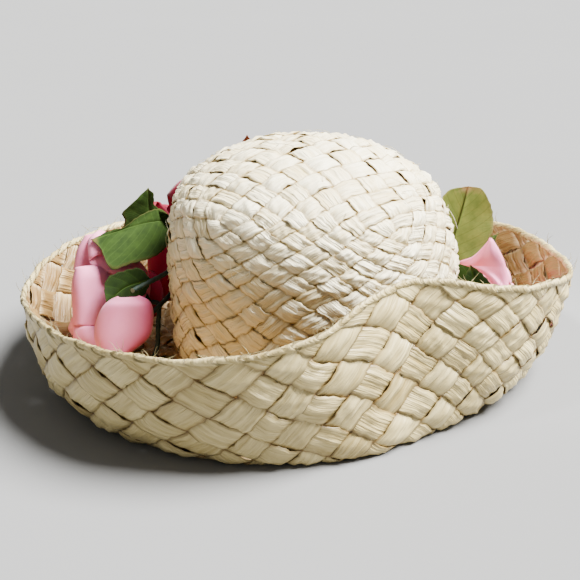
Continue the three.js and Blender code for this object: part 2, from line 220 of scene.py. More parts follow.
# %% The brim's form
NECK_OUT = 18  # how far the brim runs out from the neck before it lies on the table
NECK_LOW, NECK_FLAT, TURN_ROUND = 0.4, 0.3, 0.4  # handles of the bends, as shares of their spans
BRIM_SECTIONS = np.array([  # azimuth, turn, belly radius and height, rim radius and height
    (0, 121, 146.5, 20, 159.5, 63), (30, 126, 151, 21.5, 162.5, 60), (60, 130.5, 155, 20, 165, 54),
    (90, 134, 157, 19, 169, 50), (120, 138.5, 162, 18, 174, 50), (150, 142.5, 167, 18, 178.5, 54),
    (180, 145.5, 168, 17.5, 178, 53), (200, 146.5, 170, 19.5, 178.3, 60),
    (220, 144.5, 170, 21.5, 177.5, 63.3), (240, 141, 165, 23.5, 175.5, 67.5),
    (255, 137.5, 158.5, 24.5, 166.5, 71.5), (270, 133, 148, 28.5, 153, 79),
    (284, 128.5, 136.5, 32.5, 131, 93), (296, 119.5, 127.5, 33, 121, 95),
    (308, 116, 128.5, 28.5, 127.5, 91), (322, 113.5, 134, 24, 141, 83),
    (340, 114, 139.5, 22.5, 151.5, 74),
])


def around(column, azimuth):
    """One column of the brim's sections as a smooth closed curve of the azimuth."""
    angle = BRIM_SECTIONS[:, 0]
    angle = np.concatenate([angle - 360, angle, angle + 360])
    value = np.tile(BRIM_SECTIONS[:, column], 3)
    slope = np.zeros(len(angle))
    slope[1:-1] = (value[2:] - value[:-2]) / (angle[2:] - angle[:-2])
    i = np.searchsorted(angle, azimuth, side="right") - 1
    span = angle[i + 1] - angle[i]
    t = (azimuth - angle[i]) / span
    a, b, ma, mb = value[i], value[i + 1], slope[i] * span, slope[i + 1] * span
    return a + t * ma + t**2 * (3 * (b - a) - 2 * ma - mb) + t**3 * (2 * (a - b) + ma + mb)


def brim_line(azimuth, count=100):
    """The middle of the brim's wall at one azimuth, from the neck to the rim: radius and height."""
    turn, belly_r, belly_z, rim_r, rim_z = (float(around(k, azimuth)) for k in range(1, 6))
    radians = math.radians(azimuth)
    oval = 1 / math.hypot(math.cos(radians) / HALF_WIDTH, math.sin(radians) / HALF_LENGTH)
    neck = np.array([CROWN_SECTIONS[0][1] * oval - STRAW, SEAM_Z])
    foot, turn = np.array([neck[0] + NECK_OUT, 0]), np.array([turn, 0])
    belly, rim = np.array([belly_r, belly_z]), np.array([rim_r, rim_z])
    low, high = np.linalg.norm(belly - turn), np.linalg.norm(rim - belly)
    chord, last = unit(rim - turn), unit(rim - belly)
    t = np.linspace(0, 1, SPAN_STEPS)
    neck_low = np.array([neck[0], SEAM_Z * NECK_LOW])
    neck_out = np.array([neck[0] + NECK_OUT * NECK_FLAT, 0])
    path = np.vstack([
        bezier(neck, neck_low, neck_out, foot, t)[:-1],
        foot + (turn - foot) * t[:-1, None],
        bezier(turn, turn + [low * TURN_ROUND, 0], belly - chord * low / 3, belly, t)[:-1],
        bezier(belly, belly + chord * high / 3, rim - last * high / 3, rim, t),
    ])
    along = unit(np.gradient(path, axis=0))
    return evenly(path + np.stack([-along[:, 1], along[:, 0]], 1) * STRAW / 2, count)


brim_rows, brim_lengths = zip(*[brim_line(a) for a in range(360)])
brim_rows = np.array(brim_rows)


def brim_at(azimuth, share):
    """The middle of the brim's wall at an azimuth in degrees and a share of the way to the rim."""
    azimuth = np.mod(azimuth, 360)
    last = brim_rows.shape[1] - 1
    share = np.clip(share, 0, 1) * last
    a0, s0 = np.floor(azimuth).astype(int) % 360, np.minimum(np.floor(share).astype(int), last - 1)
    ta, ts = (azimuth - np.floor(azimuth))[..., None], (share - s0)[..., None]
    a1 = (a0 + 1) % 360
    near = brim_rows[a0, s0] * (1 - ts) + brim_rows[a0, s0 + 1] * ts
    far = brim_rows[a1, s0] * (1 - ts) + brim_rows[a1, s0 + 1] * ts
    radius, z = np.moveaxis(near * (1 - ta) + far * ta, -1, 0)
    radians = np.radians(azimuth)
    return np.stack([radius * np.cos(radians), radius * np.sin(radians), z], -1)


print("brim, from neck to rim: %.0f to %.0f mm" % (min(brim_lengths), max(brim_lengths)))

# %% [markdown]
# ## The weave
# The straw is a plain plait: flat strips 14 to 16 mm wide run both ways on the slant, and each goes
# over one and under the next. A crossing is one diamond of a net, with a strip along each of its two
# directions. A net of rings and spokes would be simpler, but its strips would grow narrow towards
# the top. So the top of the crown is a square of the net, and four walls hang from its edges, and at
# its four corners three directions meet, as where a weaver turns the work down over the block. A
# real net wanders a little, so a slow wobble moves every place of it by a few millimetres.

# %% The net of crossings
TOP = 6  # half diamonds from the middle of the top to its edge
CROWN_DOWN = 15  # half diamonds from that edge down to the seam
CROWN_ROUND = 8 * TOP  # half diamonds round the crown
TOP_EDGE, TOP_CORNER = 66.0, 80.0  # mm from the middle of the top to its edge and its corner
WEAVE_SHIFT = np.array([8.0, -24.0])  # mm, the weave's own middle lies nearer the camera
BRIM_ROUND, BRIM_DOWN = 64, 12  # half diamonds round the brim, and from its neck to its rim
FULL_LEAN = math.atan(math.sqrt(2)) / (math.pi / 4)  # lean of a cube's corner, to that of its edge
WANDER, WANDER_EDGE = 1.8, 130  # mm that a place may stray, and from where the shift has ended


def wander(flat):
    """The slow wobble of the hand that wove it, and the shift of the weave's middle."""
    x, y = flat[..., 0], flat[..., 1]
    sideways = np.sin(y / 19 + 1) + np.sin(x / 31 + y / 23)  # waves of 110 to 260 mm
    lengthways = np.sin(x / 17 + 2) + np.cos(y / 27 - x / 41)
    fade = np.clip(1 - (np.hypot(x, y) / WANDER_EDGE) ** 2, 0, 1)[..., None] ** 2
    return flat + WEAVE_SHIFT * fade + WANDER * np.stack([sideways, lengthways], -1)


print("half diamonds round the crown and the brim", CROWN_ROUND, BRIM_ROUND)

# %% Places on the crown's net
def on_crown(angle, arc):
    """The place on the crown at an angle of its flat pattern and a way from the middle of the top."""
    return crown_at(wander(np.stack([np.cos(angle), np.sin(angle)], -1) * arc[..., None]))


def top_net(x, y):
    """Place on the crown of a point of the top's square, x and y half diamonds from its middle."""
    a, b = np.tan(x / TOP * math.pi / 4), np.tan(y / TOP * math.pi / 4)
    lean = np.arctan(np.hypot(a, b)) / (math.pi / 4)
    large = np.maximum(np.abs(a), np.abs(b))
    corner = (np.minimum(np.abs(a), np.abs(b)) / np.maximum(large, 1e-9)) ** 2
    reach = TOP_EDGE + (TOP_CORNER / FULL_LEAN - TOP_EDGE) * corner * np.clip(large, 0, 1)
    return on_crown(np.arctan2(b, a), lean * reach)


def wall_net(w, d):
    """The wall below the top's edge, w round it and d down, or the top itself where d is above it."""
    w = np.mod(w, CROWN_ROUND)
    face = np.floor(w / (2 * TOP)).astype(int) % 4
    along = w - face * 2 * TOP - TOP
    angle = (along / TOP + face * 2) * math.pi / 4
    b = np.tan(along / TOP * math.pi / 4)
    lean = np.arctan(np.hypot(1, b)) / (math.pi / 4)
    edge = lean * (TOP_EDGE + (TOP_CORNER / FULL_LEAN - TOP_EDGE) * b**2)
    on_wall = on_crown(angle, edge + (CROWN_ARC - edge) * np.clip(d, 0, CROWN_DOWN) / CROWN_DOWN)
    out = TOP + d
    x = np.select([face == 0, face == 1, face == 2], [out, -along, -out], along)
    y = np.select([face == 0, face == 1, face == 2], [along, out, -along], -out)
    on_top = top_net(np.clip(x, -TOP, TOP), np.clip(y, -TOP, TOP))
    return np.where((d < 0)[..., None], on_top, on_wall)


print("middle of the top's weave", top_net(np.zeros(1), np.zeros(1))[0].round(1))

# %% Places on the brim's net
# Degrees: how far the fold at the back right has pulled the weave round, where, and over how much.
PULLED = [(4, 235, 35), (7, 283, 16)]


def brim_net(w, d):
    """Place on the brim of a point of its net: w round it, d outwards from the neck."""
    share = np.clip(d / BRIM_DOWN, 0, 1)
    azimuth = w * 360 / BRIM_ROUND
    turned = sum(most * np.exp(-(((azimuth - at) / over) ** 2)) for most, at, over in PULLED)
    slow = np.radians(azimuth)
    wobble = 0.7 * np.sin(7 * slow + 5 * share) + 0.5 * np.sin(13 * slow - 9 * share)  # degrees
    lift = 0.018 * np.sin(9 * slow + 2) * np.sin(math.pi * share)
    return brim_at(azimuth - turned * share**1.5 + wobble, share + lift)


print("the rim at the right", brim_net(np.zeros(1), np.full(1, BRIM_DOWN))[0].round(1))

# %% Every crossing
crossings = {
    "wall": [(w, d) for d in range(CROWN_DOWN + 1) for w in range(CROWN_ROUND) if (w + d) % 2],
    "top": [(x, y) for x in range(1 - TOP, TOP) for y in range(1 - TOP, TOP) if (x + y) % 2],
    "brim": [(w, d) for d in range(BRIM_DOWN + 1) for w in range(BRIM_ROUND) if (w + d) % 2],
}
print("crossings", {name: len(found) for name, found in crossings.items()})

# %% [markdown]
# ## Patches
# Each strip is a chain of patches, one to a crossing. A patch is a small grid that bulges up where
# its strip is on top and down where it is below, and meets the next patch halfway. A whole strip
# could be swept along a curve instead, but then its width would not follow the net's own.

# %% Patches of straw
ALONG, ACROSS = 8, 10  # faces of a patch
CROWN_BULGE, BRIM_BULGE = 1.5, 2.0  # mm that a strip stands off the middle of the weave
STRIP_WIDTH = 0.97  # share of the net's own width
PATCH_LONG, PATCH_HALF = 15.0, 7.5  # mm, a patch's length and half its width
NET_STEP, TINY = 0.02, 1e-6  # of half a diamond: for the slope of the net, and for a rounding error
HEMMED, FLATTEST = 0.9, 0.15  # where the weave lies flatter: over how much of a diamond, how flat


def patches(net, cells, over, cut, flip):
    """Grids of points for both strips of each crossing, their normals, signs and lost points."""
    cells = np.array(cells, float)
    a = np.linspace(-1, 1, ALONG + 1)[:, None]
    b = np.linspace(-1, 1, ACROSS + 1)[None, :] * STRIP_WIDTH
    found = []
    for way in (1, -1):
        w = cells[:, 0, None, None] + (a + b) / 2
        d = cells[:, 1, None, None] + (a - b) / 2 * way
        round_it = net(w + NET_STEP, d) - net(w - NET_STEP, d)
        down_it = net(w, d + NET_STEP) - net(w, d - NET_STEP)
        on_top = over(cells[:, 0].astype(int), cells[:, 1].astype(int)) == (way > 0)
        gone = d > cut + TINY
        normal = unit(np.cross(round_it, down_it)) * flip
        calm = np.clip((cut - d) / HEMMED, FLATTEST, 1)  # flatter where it is sewn or hemmed
        found.append((net(w, d), normal * calm[..., None], np.where(on_top, 1, -1), gone))
    return [np.concatenate(part) for part in zip(*found)]


print("a patch has %d faces" % (ALONG * ACROSS))

# %% [markdown]
# A patch doesn't know its neighbours: the walls and the top of the crown even count their crossings
# in different ways. But two patches of one strip end at the same place, so the ends are looked up by
# where they lie, and the strips are followed from one to the next.

# %% Patches in order
MEET = 0.02  # mm, how near two ends lie that are one


def chain(base):
    """Which strip each patch is in, its place along the strip, and if it runs the other way."""
    count, middle = len(base), ACROSS // 2
    ends = np.stack([base[:, 0, middle], base[:, -1, middle]], 1).reshape(-1, 3)
    tree = kdtree.KDTree(len(ends))
    for k, place in enumerate(ends):
        tree.insert(place, k)
    tree.balance()
    twin = np.full(len(ends), -1)
    for k, place in enumerate(ends):
        for _, other, _ in tree.find_range(place, MEET):
            if other // 2 != k // 2:
                twin[k] = other
    strip, order, turned = np.full(count, -1), np.zeros(count, int), np.zeros(count, bool)
    cut_off = [k for k in range(len(ends)) if twin[k] < 0]
    number = 0
    for k in cut_off + list(range(len(ends))):
        entry, place = k, 0
        while entry >= 0 and strip[entry // 2] < 0:
            patch = entry // 2
            strip[patch], order[patch], turned[patch] = number, place, entry % 2 == 1
            place += 1
            entry = twin[patch * 2 + (1 - entry % 2)]
        number += place > 0
    return strip, order, turned


def laid_alike(sources):
    """The patches of all the sources, each turned to run with its strip, its good side outwards."""
    base, normal, sign, gone = (np.concatenate(part) for part in zip(*sources))
    strip, order, turned = chain(base)
    for part in (base, normal, gone):
        part[turned] = part[turned][:, ::-1, ::-1]
    m, n = ALONG // 2, ACROSS // 2
    face = np.cross(base[:, m + 1, n] - base[:, m, n], base[:, m, n + 1] - base[:, m, n])
    inside_out = (face * normal[:, m, n]).sum(1) > 0
    for part in (base, normal, gone):
        part[inside_out] = part[inside_out][:, :, ::-1]
    return base, normal, sign[:, None, None], gone, strip, order


print("two ends are one within", MEET, "mm")

# %% [markdown]
# ## Crinkled strips
# Split leaf dries crinkled: long creases, a few dents across it, ends that pucker where it dives
# under, and torn edges. A cloth simulation of 1,700 crossings would take far too long, so each of
# these is a small wave. Some of their numbers belong to a strip and some to one patch, so that no two
# squares of the weave look alike.

# %% Crinkles
ARCH_MIN, ARCH_MORE, EDGE_DROP = 0.6, 0.9, 0.42  # how far a patch arches, and how its edges hang
TILT, CREASE, RIDGE, DENT, PUCKER, TEAR = 1.5, 0.42, 0.22, 0.42, 0.25, 0.5  # mm
NARROW, WIDER = 0.92, 0.16  # the narrowest strip, and how much wider the widest is
PRESSED, TABLE = 0.8, 0.3  # mm over the table: where straw starts to be pressed flat, and its lowest
TURN = 6.3  # radians, about one whole turn, so that a draw from 0 to 1 gives any phase


def zigzag(waves):
    """A wave from -1 to 1 with sharp tops, as a crease has."""
    return 1 - 2 * np.abs(np.sin(waves))


def crinkled(base, normal, sign, strip, order, bulge):
    """Points, UV, tone and painted gap shade of the patches, once they arch over each other and crinkle.
    """
    a = np.linspace(-1, 1, ALONG + 1)[None, :, None]
    b = np.linspace(-1, 1, ACROSS + 1)[None, None, :]
    mine = random.random((strip.max() + 1, 6))[strip][:, :, None, None]  # numbers of the strip
    each = random.random((len(base), 3))[:, :, None, None]  # numbers of the patch
    v = (order[:, None, None] + (a + 1) / 2) * PATCH_LONG + 0 * b
    u = b * PATCH_HALF + 0 * v
    free = 1 - a**2  # a patch is held at its two ends
    arch = (1 - np.abs(a) ** 2.6) * (1 - EDGE_DROP * b**2) * (ARCH_MIN + ARCH_MORE * each[:, 0])
    tilt = TILT * (each[:, 1] - 0.5) * b * free
    crease = CREASE * zigzag((0.3 + 0.22 * mine[:, 5]) * u + 0.05 * v + TURN * mine[:, 0])
    ridge = RIDGE * np.sin(1.3 * u - 0.12 * v + TURN * mine[:, 1])
    dent = DENT * zigzag(0.22 * u + (each[:, 2] - 0.5) * v + TURN * each[:, 1]) * free
    pucker = PUCKER * np.sin(0.8 * v + 0.9 * u + TURN * each[:, 2]) * free
    wrinkle = (crease + ridge + dent + pucker) * (1 - 0.6 * np.abs(a) ** 4)
    lift = sign * (arch * bulge + tilt) + wrinkle
    middle = base[:, :, ACROSS // 2:ACROSS // 2 + 1]
    across = unit(np.gradient(base, axis=2))
    torn = np.sin(0.55 * v + TURN * mine[:, 5] + 2 * np.sign(b))
    torn = torn + 0.6 * np.sin(1.35 * v + TURN * mine[:, 0])
    points = middle + (base - middle) * (NARROW + WIDER * mine[:, 4])[..., None]
    points = points + normal * lift[..., None] + across * (TEAR * torn * b * np.abs(b))[..., None]
    z, soft = points[..., 2], PRESSED - TABLE
    points[..., 2] = np.where(z < PRESSED, TABLE + soft * np.exp((z - PRESSED) / soft), z)
    # painted shade: darker where a strip dives under its neighbour and along its edges
    gap = np.clip(0.5 - 0.5 * sign * arch, 0, 1) ** 1.5 + 0.45 * np.abs(b) ** 8 + 0 * u
    tone = 0.6 * mine[:, 3] + 0.4 * each[:, 0] + 0 * u
    uv = np.stack([u + 900 * mine[:, 2], v], -1) * MM_TO_UV  # each strip is cut from its own leaf
    return points, uv, tone, gap


print("a strip is %.2f to %.2f of its full width" % (NARROW, NARROW + WIDER))

# %% Strips of straw
def strips(name, sources, bulge):
    """Joins the patches of all the sources into strips, as two pieces that share them out."""
    base, normal, sign, gone, strip, order = laid_alike(sources)
    points, uv, tone, gap = crinkled(base, normal, sign, strip, order, bulge)
    index = np.arange(gone.size).reshape(gone.shape)
    shared = index.ravel().copy()
    at = {key: p for p, key in enumerate(zip(strip, order))}
    for (number, place), p in at.items():  # neighbours share the points of the edge where they meet
        q = at.get((number, place + 1))
        if q is not None:
            points[p, -1] = points[q, 0] = (points[p, -1] + points[q, 0]) / 2
            shared[index[q, 0]] = index[p, -1]
    cell = grid_faces(ALONG + 1, ACROSS + 1)
    found = []
    for half in (0, 1):
        own = [p for p in range(len(base)) if strip[p] % 2 == half]
        faces = np.concatenate([index[p].ravel()[cell] for p in own])
        faces = shared[faces[gone.ravel()[faces].sum(1) < 3]]
        used, faces = np.unique(faces, return_inverse=True)
        looks = {"tone": tone.ravel()[used], "gap": gap.ravel()[used]}
        shape = Shape()
        shape.add(points.reshape(-1, 3)[used], faces, uv.reshape(-1, 2)[used], **looks)
        found.append((name + "_" + "ab"[half], shape))
    print(name, len(base), "patches in", strip.max() + 1, "strips")
    return found


# %% [markdown]
# ## Colours and nodes
# Colours are picked as sRGB hex values, and Blender wants them linear. One function adds a node
# with its settings and links, and every material below is made with it. Pictures could be painted
# for the finishes instead, but a pattern made of nodes is sharp at any distance and needs no file.

# %% Colours and nodes
TIMES_PLUS = {"operation": "MULTIPLY_ADD"}  # i0 * i1 + i2
PLUS, TIMES, LARGER = ({"operation": name} for name in ("ADD", "MULTIPLY", "MAXIMUM"))
THERE_AND_BACK = {"operation": "PINGPONG"}
ACROSS_BANDS, ALONG_BANDS = {"bands_direction": "X"}, {"bands_direction": "Y"}
COLOURS = {"data_type": "RGBA"}  # a mix of two colours: i0 is the share, i6 and i7 are the colours


def linear(code):
    """An sRGB hex colour as linear red, green, blue and alpha."""
    parts = [int(code[i:i + 2], 16) / 255 for i in (1, 3, 5)]
    return [c / 12.92 if c <= 0.04045 else ((c + 0.055) / 1.055) ** 2.4 for c in parts] + [1]


def add(tree, kind, settings=None, **links):
    """Adds a node. Settings are its properties. Links are its inputs, by name or as i0, i1 and so
    on, each a value or another node's output."""
    node = tree.nodes.new(kind)
    for key, value in (settings or {}).items():
        setattr(node, key, value)
    for key, value in links.items():
        socket = node.inputs[int(key[1:])] if key[1:].isdigit() else node.inputs[key.replace("_", " ")]
        if isinstance(value, bpy.types.NodeSocket):
            tree.links.new(value, socket)
        else:
            socket.default_value = value
    return node


def new_material(name, roughness, **sockets):
    """A material with its plain numbers set on the shader itself."""
    material = bpy.data.materials.new(name)
    material.use_nodes = True
    shader = material.node_tree.nodes["Principled BSDF"]
    shader.inputs["Roughness"].default_value = roughness
    for key, value in sockets.items():
        shader.inputs[key.replace("_", " ")].default_value = value
    return material, material.node_tree, shader


print("middle grey in linear light is %.2f" % linear("#808080")[0])

# %% [markdown]
# ## Straw
# The hat is plaited from raffia: leaf of a palm, split, flattened and bleached. It is cream on the
# faces, and the gaps, where a strip dives under its neighbour, and the edges of the strips get a painted
# shade of honey brown. Long fibres give it fine streaks and a soft gloss. Each strip keeps a tone of its
# own. The streaks are noise that is pulled long, because the wave texture draws lines that are too even
# for a leaf.

# %% Straw material
# Real fibres are about 0.3 mm apart. They are drawn 1.2 mm apart with streaks of 3 mm, because finer
# ones would not show. These are spots of noise in 100 mm: across a strip, along it, and in depth.
FIBRE = (80, 4, 1)
STREAK = (34, 3, 1)
STRAW_ROUGH, STRAW_GLOSS = 0.42, 0.45  # a waxy leaf: duller than varnish, glossier than paper


def straw(name, light, dark, painted_shade_colour):
    """Bleached palm leaf, with fibres along the strip and a painted shade, darker and yellower, in the
    gap.
    """
    material, tree, shader = new_material(name, STRAW_ROUGH, Specular_IOR_Level=STRAW_GLOSS)
    uv = add(tree, "ShaderNodeUVMap", {"uv_map": "UVMap"}).outputs[0]
    place = add(tree, "ShaderNodeVectorMath", TIMES, i0=uv, i1=FIBRE).outputs[0]
    fibre = add(tree, "ShaderNodeTexNoise", Vector=place, Scale=1.0, Detail=3.0, Roughness=0.6)
    fibre = fibre.outputs["Fac"]
    place = add(tree, "ShaderNodeVectorMath", TIMES, i0=uv, i1=STREAK).outputs[0]
    streak = add(tree, "ShaderNodeTexNoise", Vector=place, Scale=1.0, Detail=2.0).outputs["Fac"]
    tone = add(tree, "ShaderNodeAttribute", {"attribute_name": "tone"}).outputs["Fac"]
    gap = add(tree, "ShaderNodeAttribute", {"attribute_name": "gap"}).outputs["Fac"]
    both = add(tree, "ShaderNodeMath", TIMES_PLUS, i0=tone, i1=0.45, i2=streak)
    fine = add(tree, "ShaderNodeMath", TIMES_PLUS, i0=fibre, i1=0.9, i2=both.outputs[0])
    share = add(tree, "ShaderNodeMapRange", i0=fine.outputs[0], i1=0.75, i2=1.45).outputs[0]
    face = add(tree, "ShaderNodeMix", COLOURS, i0=share, i6=linear(dark), i7=linear(light)).outputs[2]
    # the painted shade of the gaps is mixed in here
    deep = add(tree, "ShaderNodeMapRange", i0=gap, i1=0.22, i2=0.75).outputs[0]
    whole = add(tree, "ShaderNodeMix", COLOURS, i0=deep, i6=face, i7=linear(painted_shade_colour))
    tree.links.new(whole.outputs[2], shader.inputs["Base Color"])
    grain = add(tree, "ShaderNodeMath", TIMES_PLUS, i0=streak, i1=1.8, i2=fibre).outputs[0]
    bump = add(tree, "ShaderNodeBump", Strength=1.0, Distance=0.0012, Height=grain)
    tree.links.new(bump.outputs[0], shader.inputs["Normal"])
    return material


# The brim wears a darker copy of the crown's straw, a painted shade, and the inside of all of it a warm
# tan copy, also a painted shade.
crown_straw = straw("bleached_straw", "#f6ecca", "#d6c28a", "#94783a")
brim_straw = straw("brim_straw_painted_shade", "#d6c48c", "#9c864e", "#6a5020")
inner_straw = straw("shaded_straw", "#dec69a", "#c2a674", "#8a6c3c")
print("straw", [material.name for material in (crown_straw, brim_straw, inner_straw)])

# %% [markdown]
# ## The weaving
# Now the nets, the patches and the straw come together. The crown is bleached nearly white on the
# outside. The brim wears a darker copy of that straw as a painted shade, and the inside of all of it a
# warmer copy, also a painted shade. The thickness comes from a solidify modifier, which can give its
# second side that warmer straw.

# %% Weave the crown and the brim
STRIP_THICK = 0.35  # mm
NEVER = 2 * CROWN_DOWN  # the top of the crown is not cut anywhere
crown_sources = [
    patches(wall_net, crossings["wall"], lambda w, d: (w + TOP + 1) % 2 == 0, CROWN_DOWN, -1),
    patches(top_net, crossings["top"], lambda x, y: x % 2 == 0, NEVER, 1),
]
brim_sources = [patches(brim_net, crossings["brim"], lambda w, d: w % 2 == 0, BRIM_DOWN, 1)]
woven = [("crown", crown_straw, shape) for shape in strips("crown_strips", crown_sources, CROWN_BULGE)]
woven += [("brim", brim_straw, shape) for shape in strips("brim_strips", brim_sources, BRIM_BULGE)]
for node, material, (name, shape) in woven:
    piece = shape.build(name, [material, inner_straw])
    finish_piece(piece, node, STRIP_THICK)
    piece.modifiers["thickness"].material_offset = 1  # the inside wears the painted shade of the shaded straw
print("woven pieces", len(woven))

# %% [markdown]
# ## The folded edge of the brim
# Every strip is turned back over the rim and caught down, so the edge is a low round roll with
# slanting folds, one for each strip. The strips could be bent round a wire one by one, but only the
# steps between them show. So it is one ring with a small oval section that grows and drops again,
# which gives each fold its crisp edge.

# %% The folded edge
HEM_HIGH, HEM_THICK = 1.9, 1.4  # mm, half the height and half the thickness of the roll
HEM_FOLDS = BRIM_ROUND + 14  # the strips, and the ends that were spliced in
HEM_STEPS, HEM_SIDES = 1100, 14
HEM_DOWN, HEM_WAVE = 0.9, 0.8  # mm, how far the roll sits below the rim, and how unevenly
BELOW_RIM = 0.97  # a share of the brim just below its rim


def folded_edge():
    """The ring of turned-back straw round the rim."""
    azimuth = np.linspace(0, 360, HEM_STEPS, endpoint=False)
    rim, below = (brim_at(azimuth, np.full(HEM_STEPS, share)) for share in (1.0, BELOW_RIM))
    up = unit(rim - below)
    along = unit(np.roll(rim, -1, 0) - np.roll(rim, 1, 0))
    out = unit(np.cross(along, up))
    theta = np.linspace(0, 2 * math.pi, HEM_SIDES, endpoint=False)[None, :]
    phase = azimuth[:, None] / 360 * HEM_FOLDS + 0.3 * np.sin(theta) + 0.22 * np.cos(theta)
    fold = np.mod(phase, 1)
    number = np.floor(phase).astype(int) % HEM_FOLDS
    size = random.random((HEM_FOLDS, 3))[number]
    swell = 0.62 + 0.5 * fold**0.7 + 0.35 * size[..., 0] + 0.1 * np.sin(fold * 19 + 6 * size[..., 1])
    uneven = HEM_WAVE * np.sin(azimuth / 7.3) * np.sin(azimuth / 3.1)
    centre = rim - up * HEM_DOWN + up * uneven[:, None]
    offset = (np.cos(theta) * HEM_HIGH * swell)[..., None] * up[:, None]
    offset = offset + (np.sin(theta) * HEM_THICK * swell)[..., None] * out[:, None]
    faces = grid_faces(HEM_STEPS, HEM_SIDES, closed=True, ring=True)
    uv = np.stack([fold * 8 + number * 31, theta * 3 + 0 * fold], -1) * MM_TO_UV
    # painted shade at the step where one fold meets the next
    gap = 0.5 * np.exp(-fold * 9) + 0.25 * (fold > 0.93)
    shape = Shape()
    shape.add(centre[:, None] + offset, faces, uv, tone=size[..., 2], gap=gap)
    return shape


edge = folded_edge().build("brim_edge", [brim_straw])
finish_piece(edge, "brim")
print("rim folds", HEM_FOLDS)

# %% [markdown]
# ## The garland
# Cloth roses and leaves on taped wire stems lie in the trough between crown and brim. The places
# and sizes below are the same as in the solids, apart from leaf_left_low, which lies a little
# flatter here. They could be read off the CAD boxes, but a box doesn't say which way a rose faces.

# %% Where the garland lies
STEM_RADIUS, STEM_LEAD = 1.6, 4  # mm, and how far a stem runs straight out of its rose
GAP = 0.3  # mm between a stem and what sits on it
ROSES = {  # foot, azimuth and lift of the way it faces, share of the width and of the depth
    "rose_pink_left": ((-102, 4, 37.5), 174, 8, 1.05, 0.98),
    "rose_red_left": ((-76, 73, 42), 135, 55, 1, 1),
    "rose_pink_far": ((-17, 121, 12), 98, 78, 0.84, 0.84),
    "rose_red_right": ((69, 98.5, 13), 55, 78, 0.84, 0.84),
    "rose_pink_right": ((97, 9, 37), 8, 21, 0.92, 0.7),
}
STEMS = {  # the rose that it carries, and the points it runs through
    "stem_red_left": ("rose_red_left", [
        (-80, 55, 44), (-86.5, 34, 52), (-88.2, 15, 57), (-91.5, -2, 59), (-108, -32, 59)]),
    "stem_leaves_left": (None, [(-86, 48, 38), (-87.7, 24, 42), (-90, 6, 42), (-102, -20, 36)]),
    "stem_pink_left": ("rose_pink_left", [(-97, -4, 26), (-98, -14, 11), (-106, -30, 4)]),
    "stem_pink_far": ("rose_pink_far", [(-30, 112, 4.2), (-52, 98, 4.2), (-70, 84, 4.2)]),
    "stem_red_right": ("rose_red_right", [(57, 99, 5.4), (38, 107, 4.3), (14, 112, 4)]),
    "stem_pink_right": ("rose_pink_right", [(90.5, 24, 26), (92, 42, 10), (98, 62, 4)]),
    "stem_leaf_right": (None, [(104, -10, 4), (107, -26, 4), (102, -44, 4)]),
}
LEAVES = {  # stem and share along it, tip, way up, stalk share, half width, fold in degrees, arch
    "leaf_left_front": ("stem_red_left", 0.3, (-133.5, 8, 80), (-0.2, -0.65, 0.7), 0.2, 19, 12, 12),
    "leaf_left_up": ("stem_leaves_left", 0.03, (-110, 46, 98), (-0.15, -0.9, 0.4), 0.28, 19, 12, 3),
    "leaf_left_low": ("stem_red_left", 0.78, (-126.5, -34, 50), (-0.2, -0.95, 0.25), 0.15, 11, 2, -4),
    "leaf_left_floor": ("stem_pink_left", 0.8, (-124, -58, 13), (0, -0.2, 1), 0.2, 12, 12, 5),
    "leaf_back_tall": ("stem_pink_far", 0.52, (-45, 99, 121), (0, -0.95, 0.3), 0.45, 14, 12, -3),
    "leaf_far_left": ("stem_pink_far", 0.7, (-70, 142, 52), (0, -0.4, 0.9), 0.3, 13, 12, 5),
    "leaf_far_middle": ("stem_red_right", 0.86, (31, 150, 50), (0, -0.6, 0.8), 0.25, 13, 12, 6),
    "leaf_far_right": ("stem_pink_right", 0.85, (124, 78, 60), (-0.6, -0.3, 0.8), 0.25, 13, 12, 6),
    "leaf_right_up": ("stem_pink_right", 0.62, (103, 47, 101), (-0.1, -0.95, 0.2), 0.45, 16, 8, -2),
    "leaf_right_low": ("stem_leaf_right", 0.35, (95, -20, 72), (0.1, -0.95, 0.3), 0.2, 15, 10, 0),
}


def direction(azimuth, lift):
    """The direction with an azimuth and a lift in degrees."""
    azimuth, lift = math.radians(azimuth), math.radians(lift)
    flat = math.cos(lift)
    return np.array([flat * math.cos(azimuth), flat * math.sin(azimuth), math.sin(lift)])


def facing(name):
    """The way a rose looks."""
    return direction(*ROSES[name][1:3])


def stem_line(name, count=201):
    """The middle of a stem, from just behind its rose."""
    rose, through = STEMS[name]
    through = [np.array(point, float) for point in through]
    if rose:
        foot = np.array(ROSES[rose][0]) - facing(rose) * GAP
        through = [foot, foot - facing(rose) * STEM_LEAD] + through
    return smooth_line(through, count)


print(len(ROSES), "roses,", len(STEMS), "stems and", len(LEAVES), "leaves")

# %% [markdown]
# ## Tubes
# Stems, stalks and loose threads are all tubes along a line. A curve object with a round bevel would
# give one, but not the spiral of tape, whose skin steps up at each turn. So a tube is a grid of
# points round the line, and the step is added to its radius.

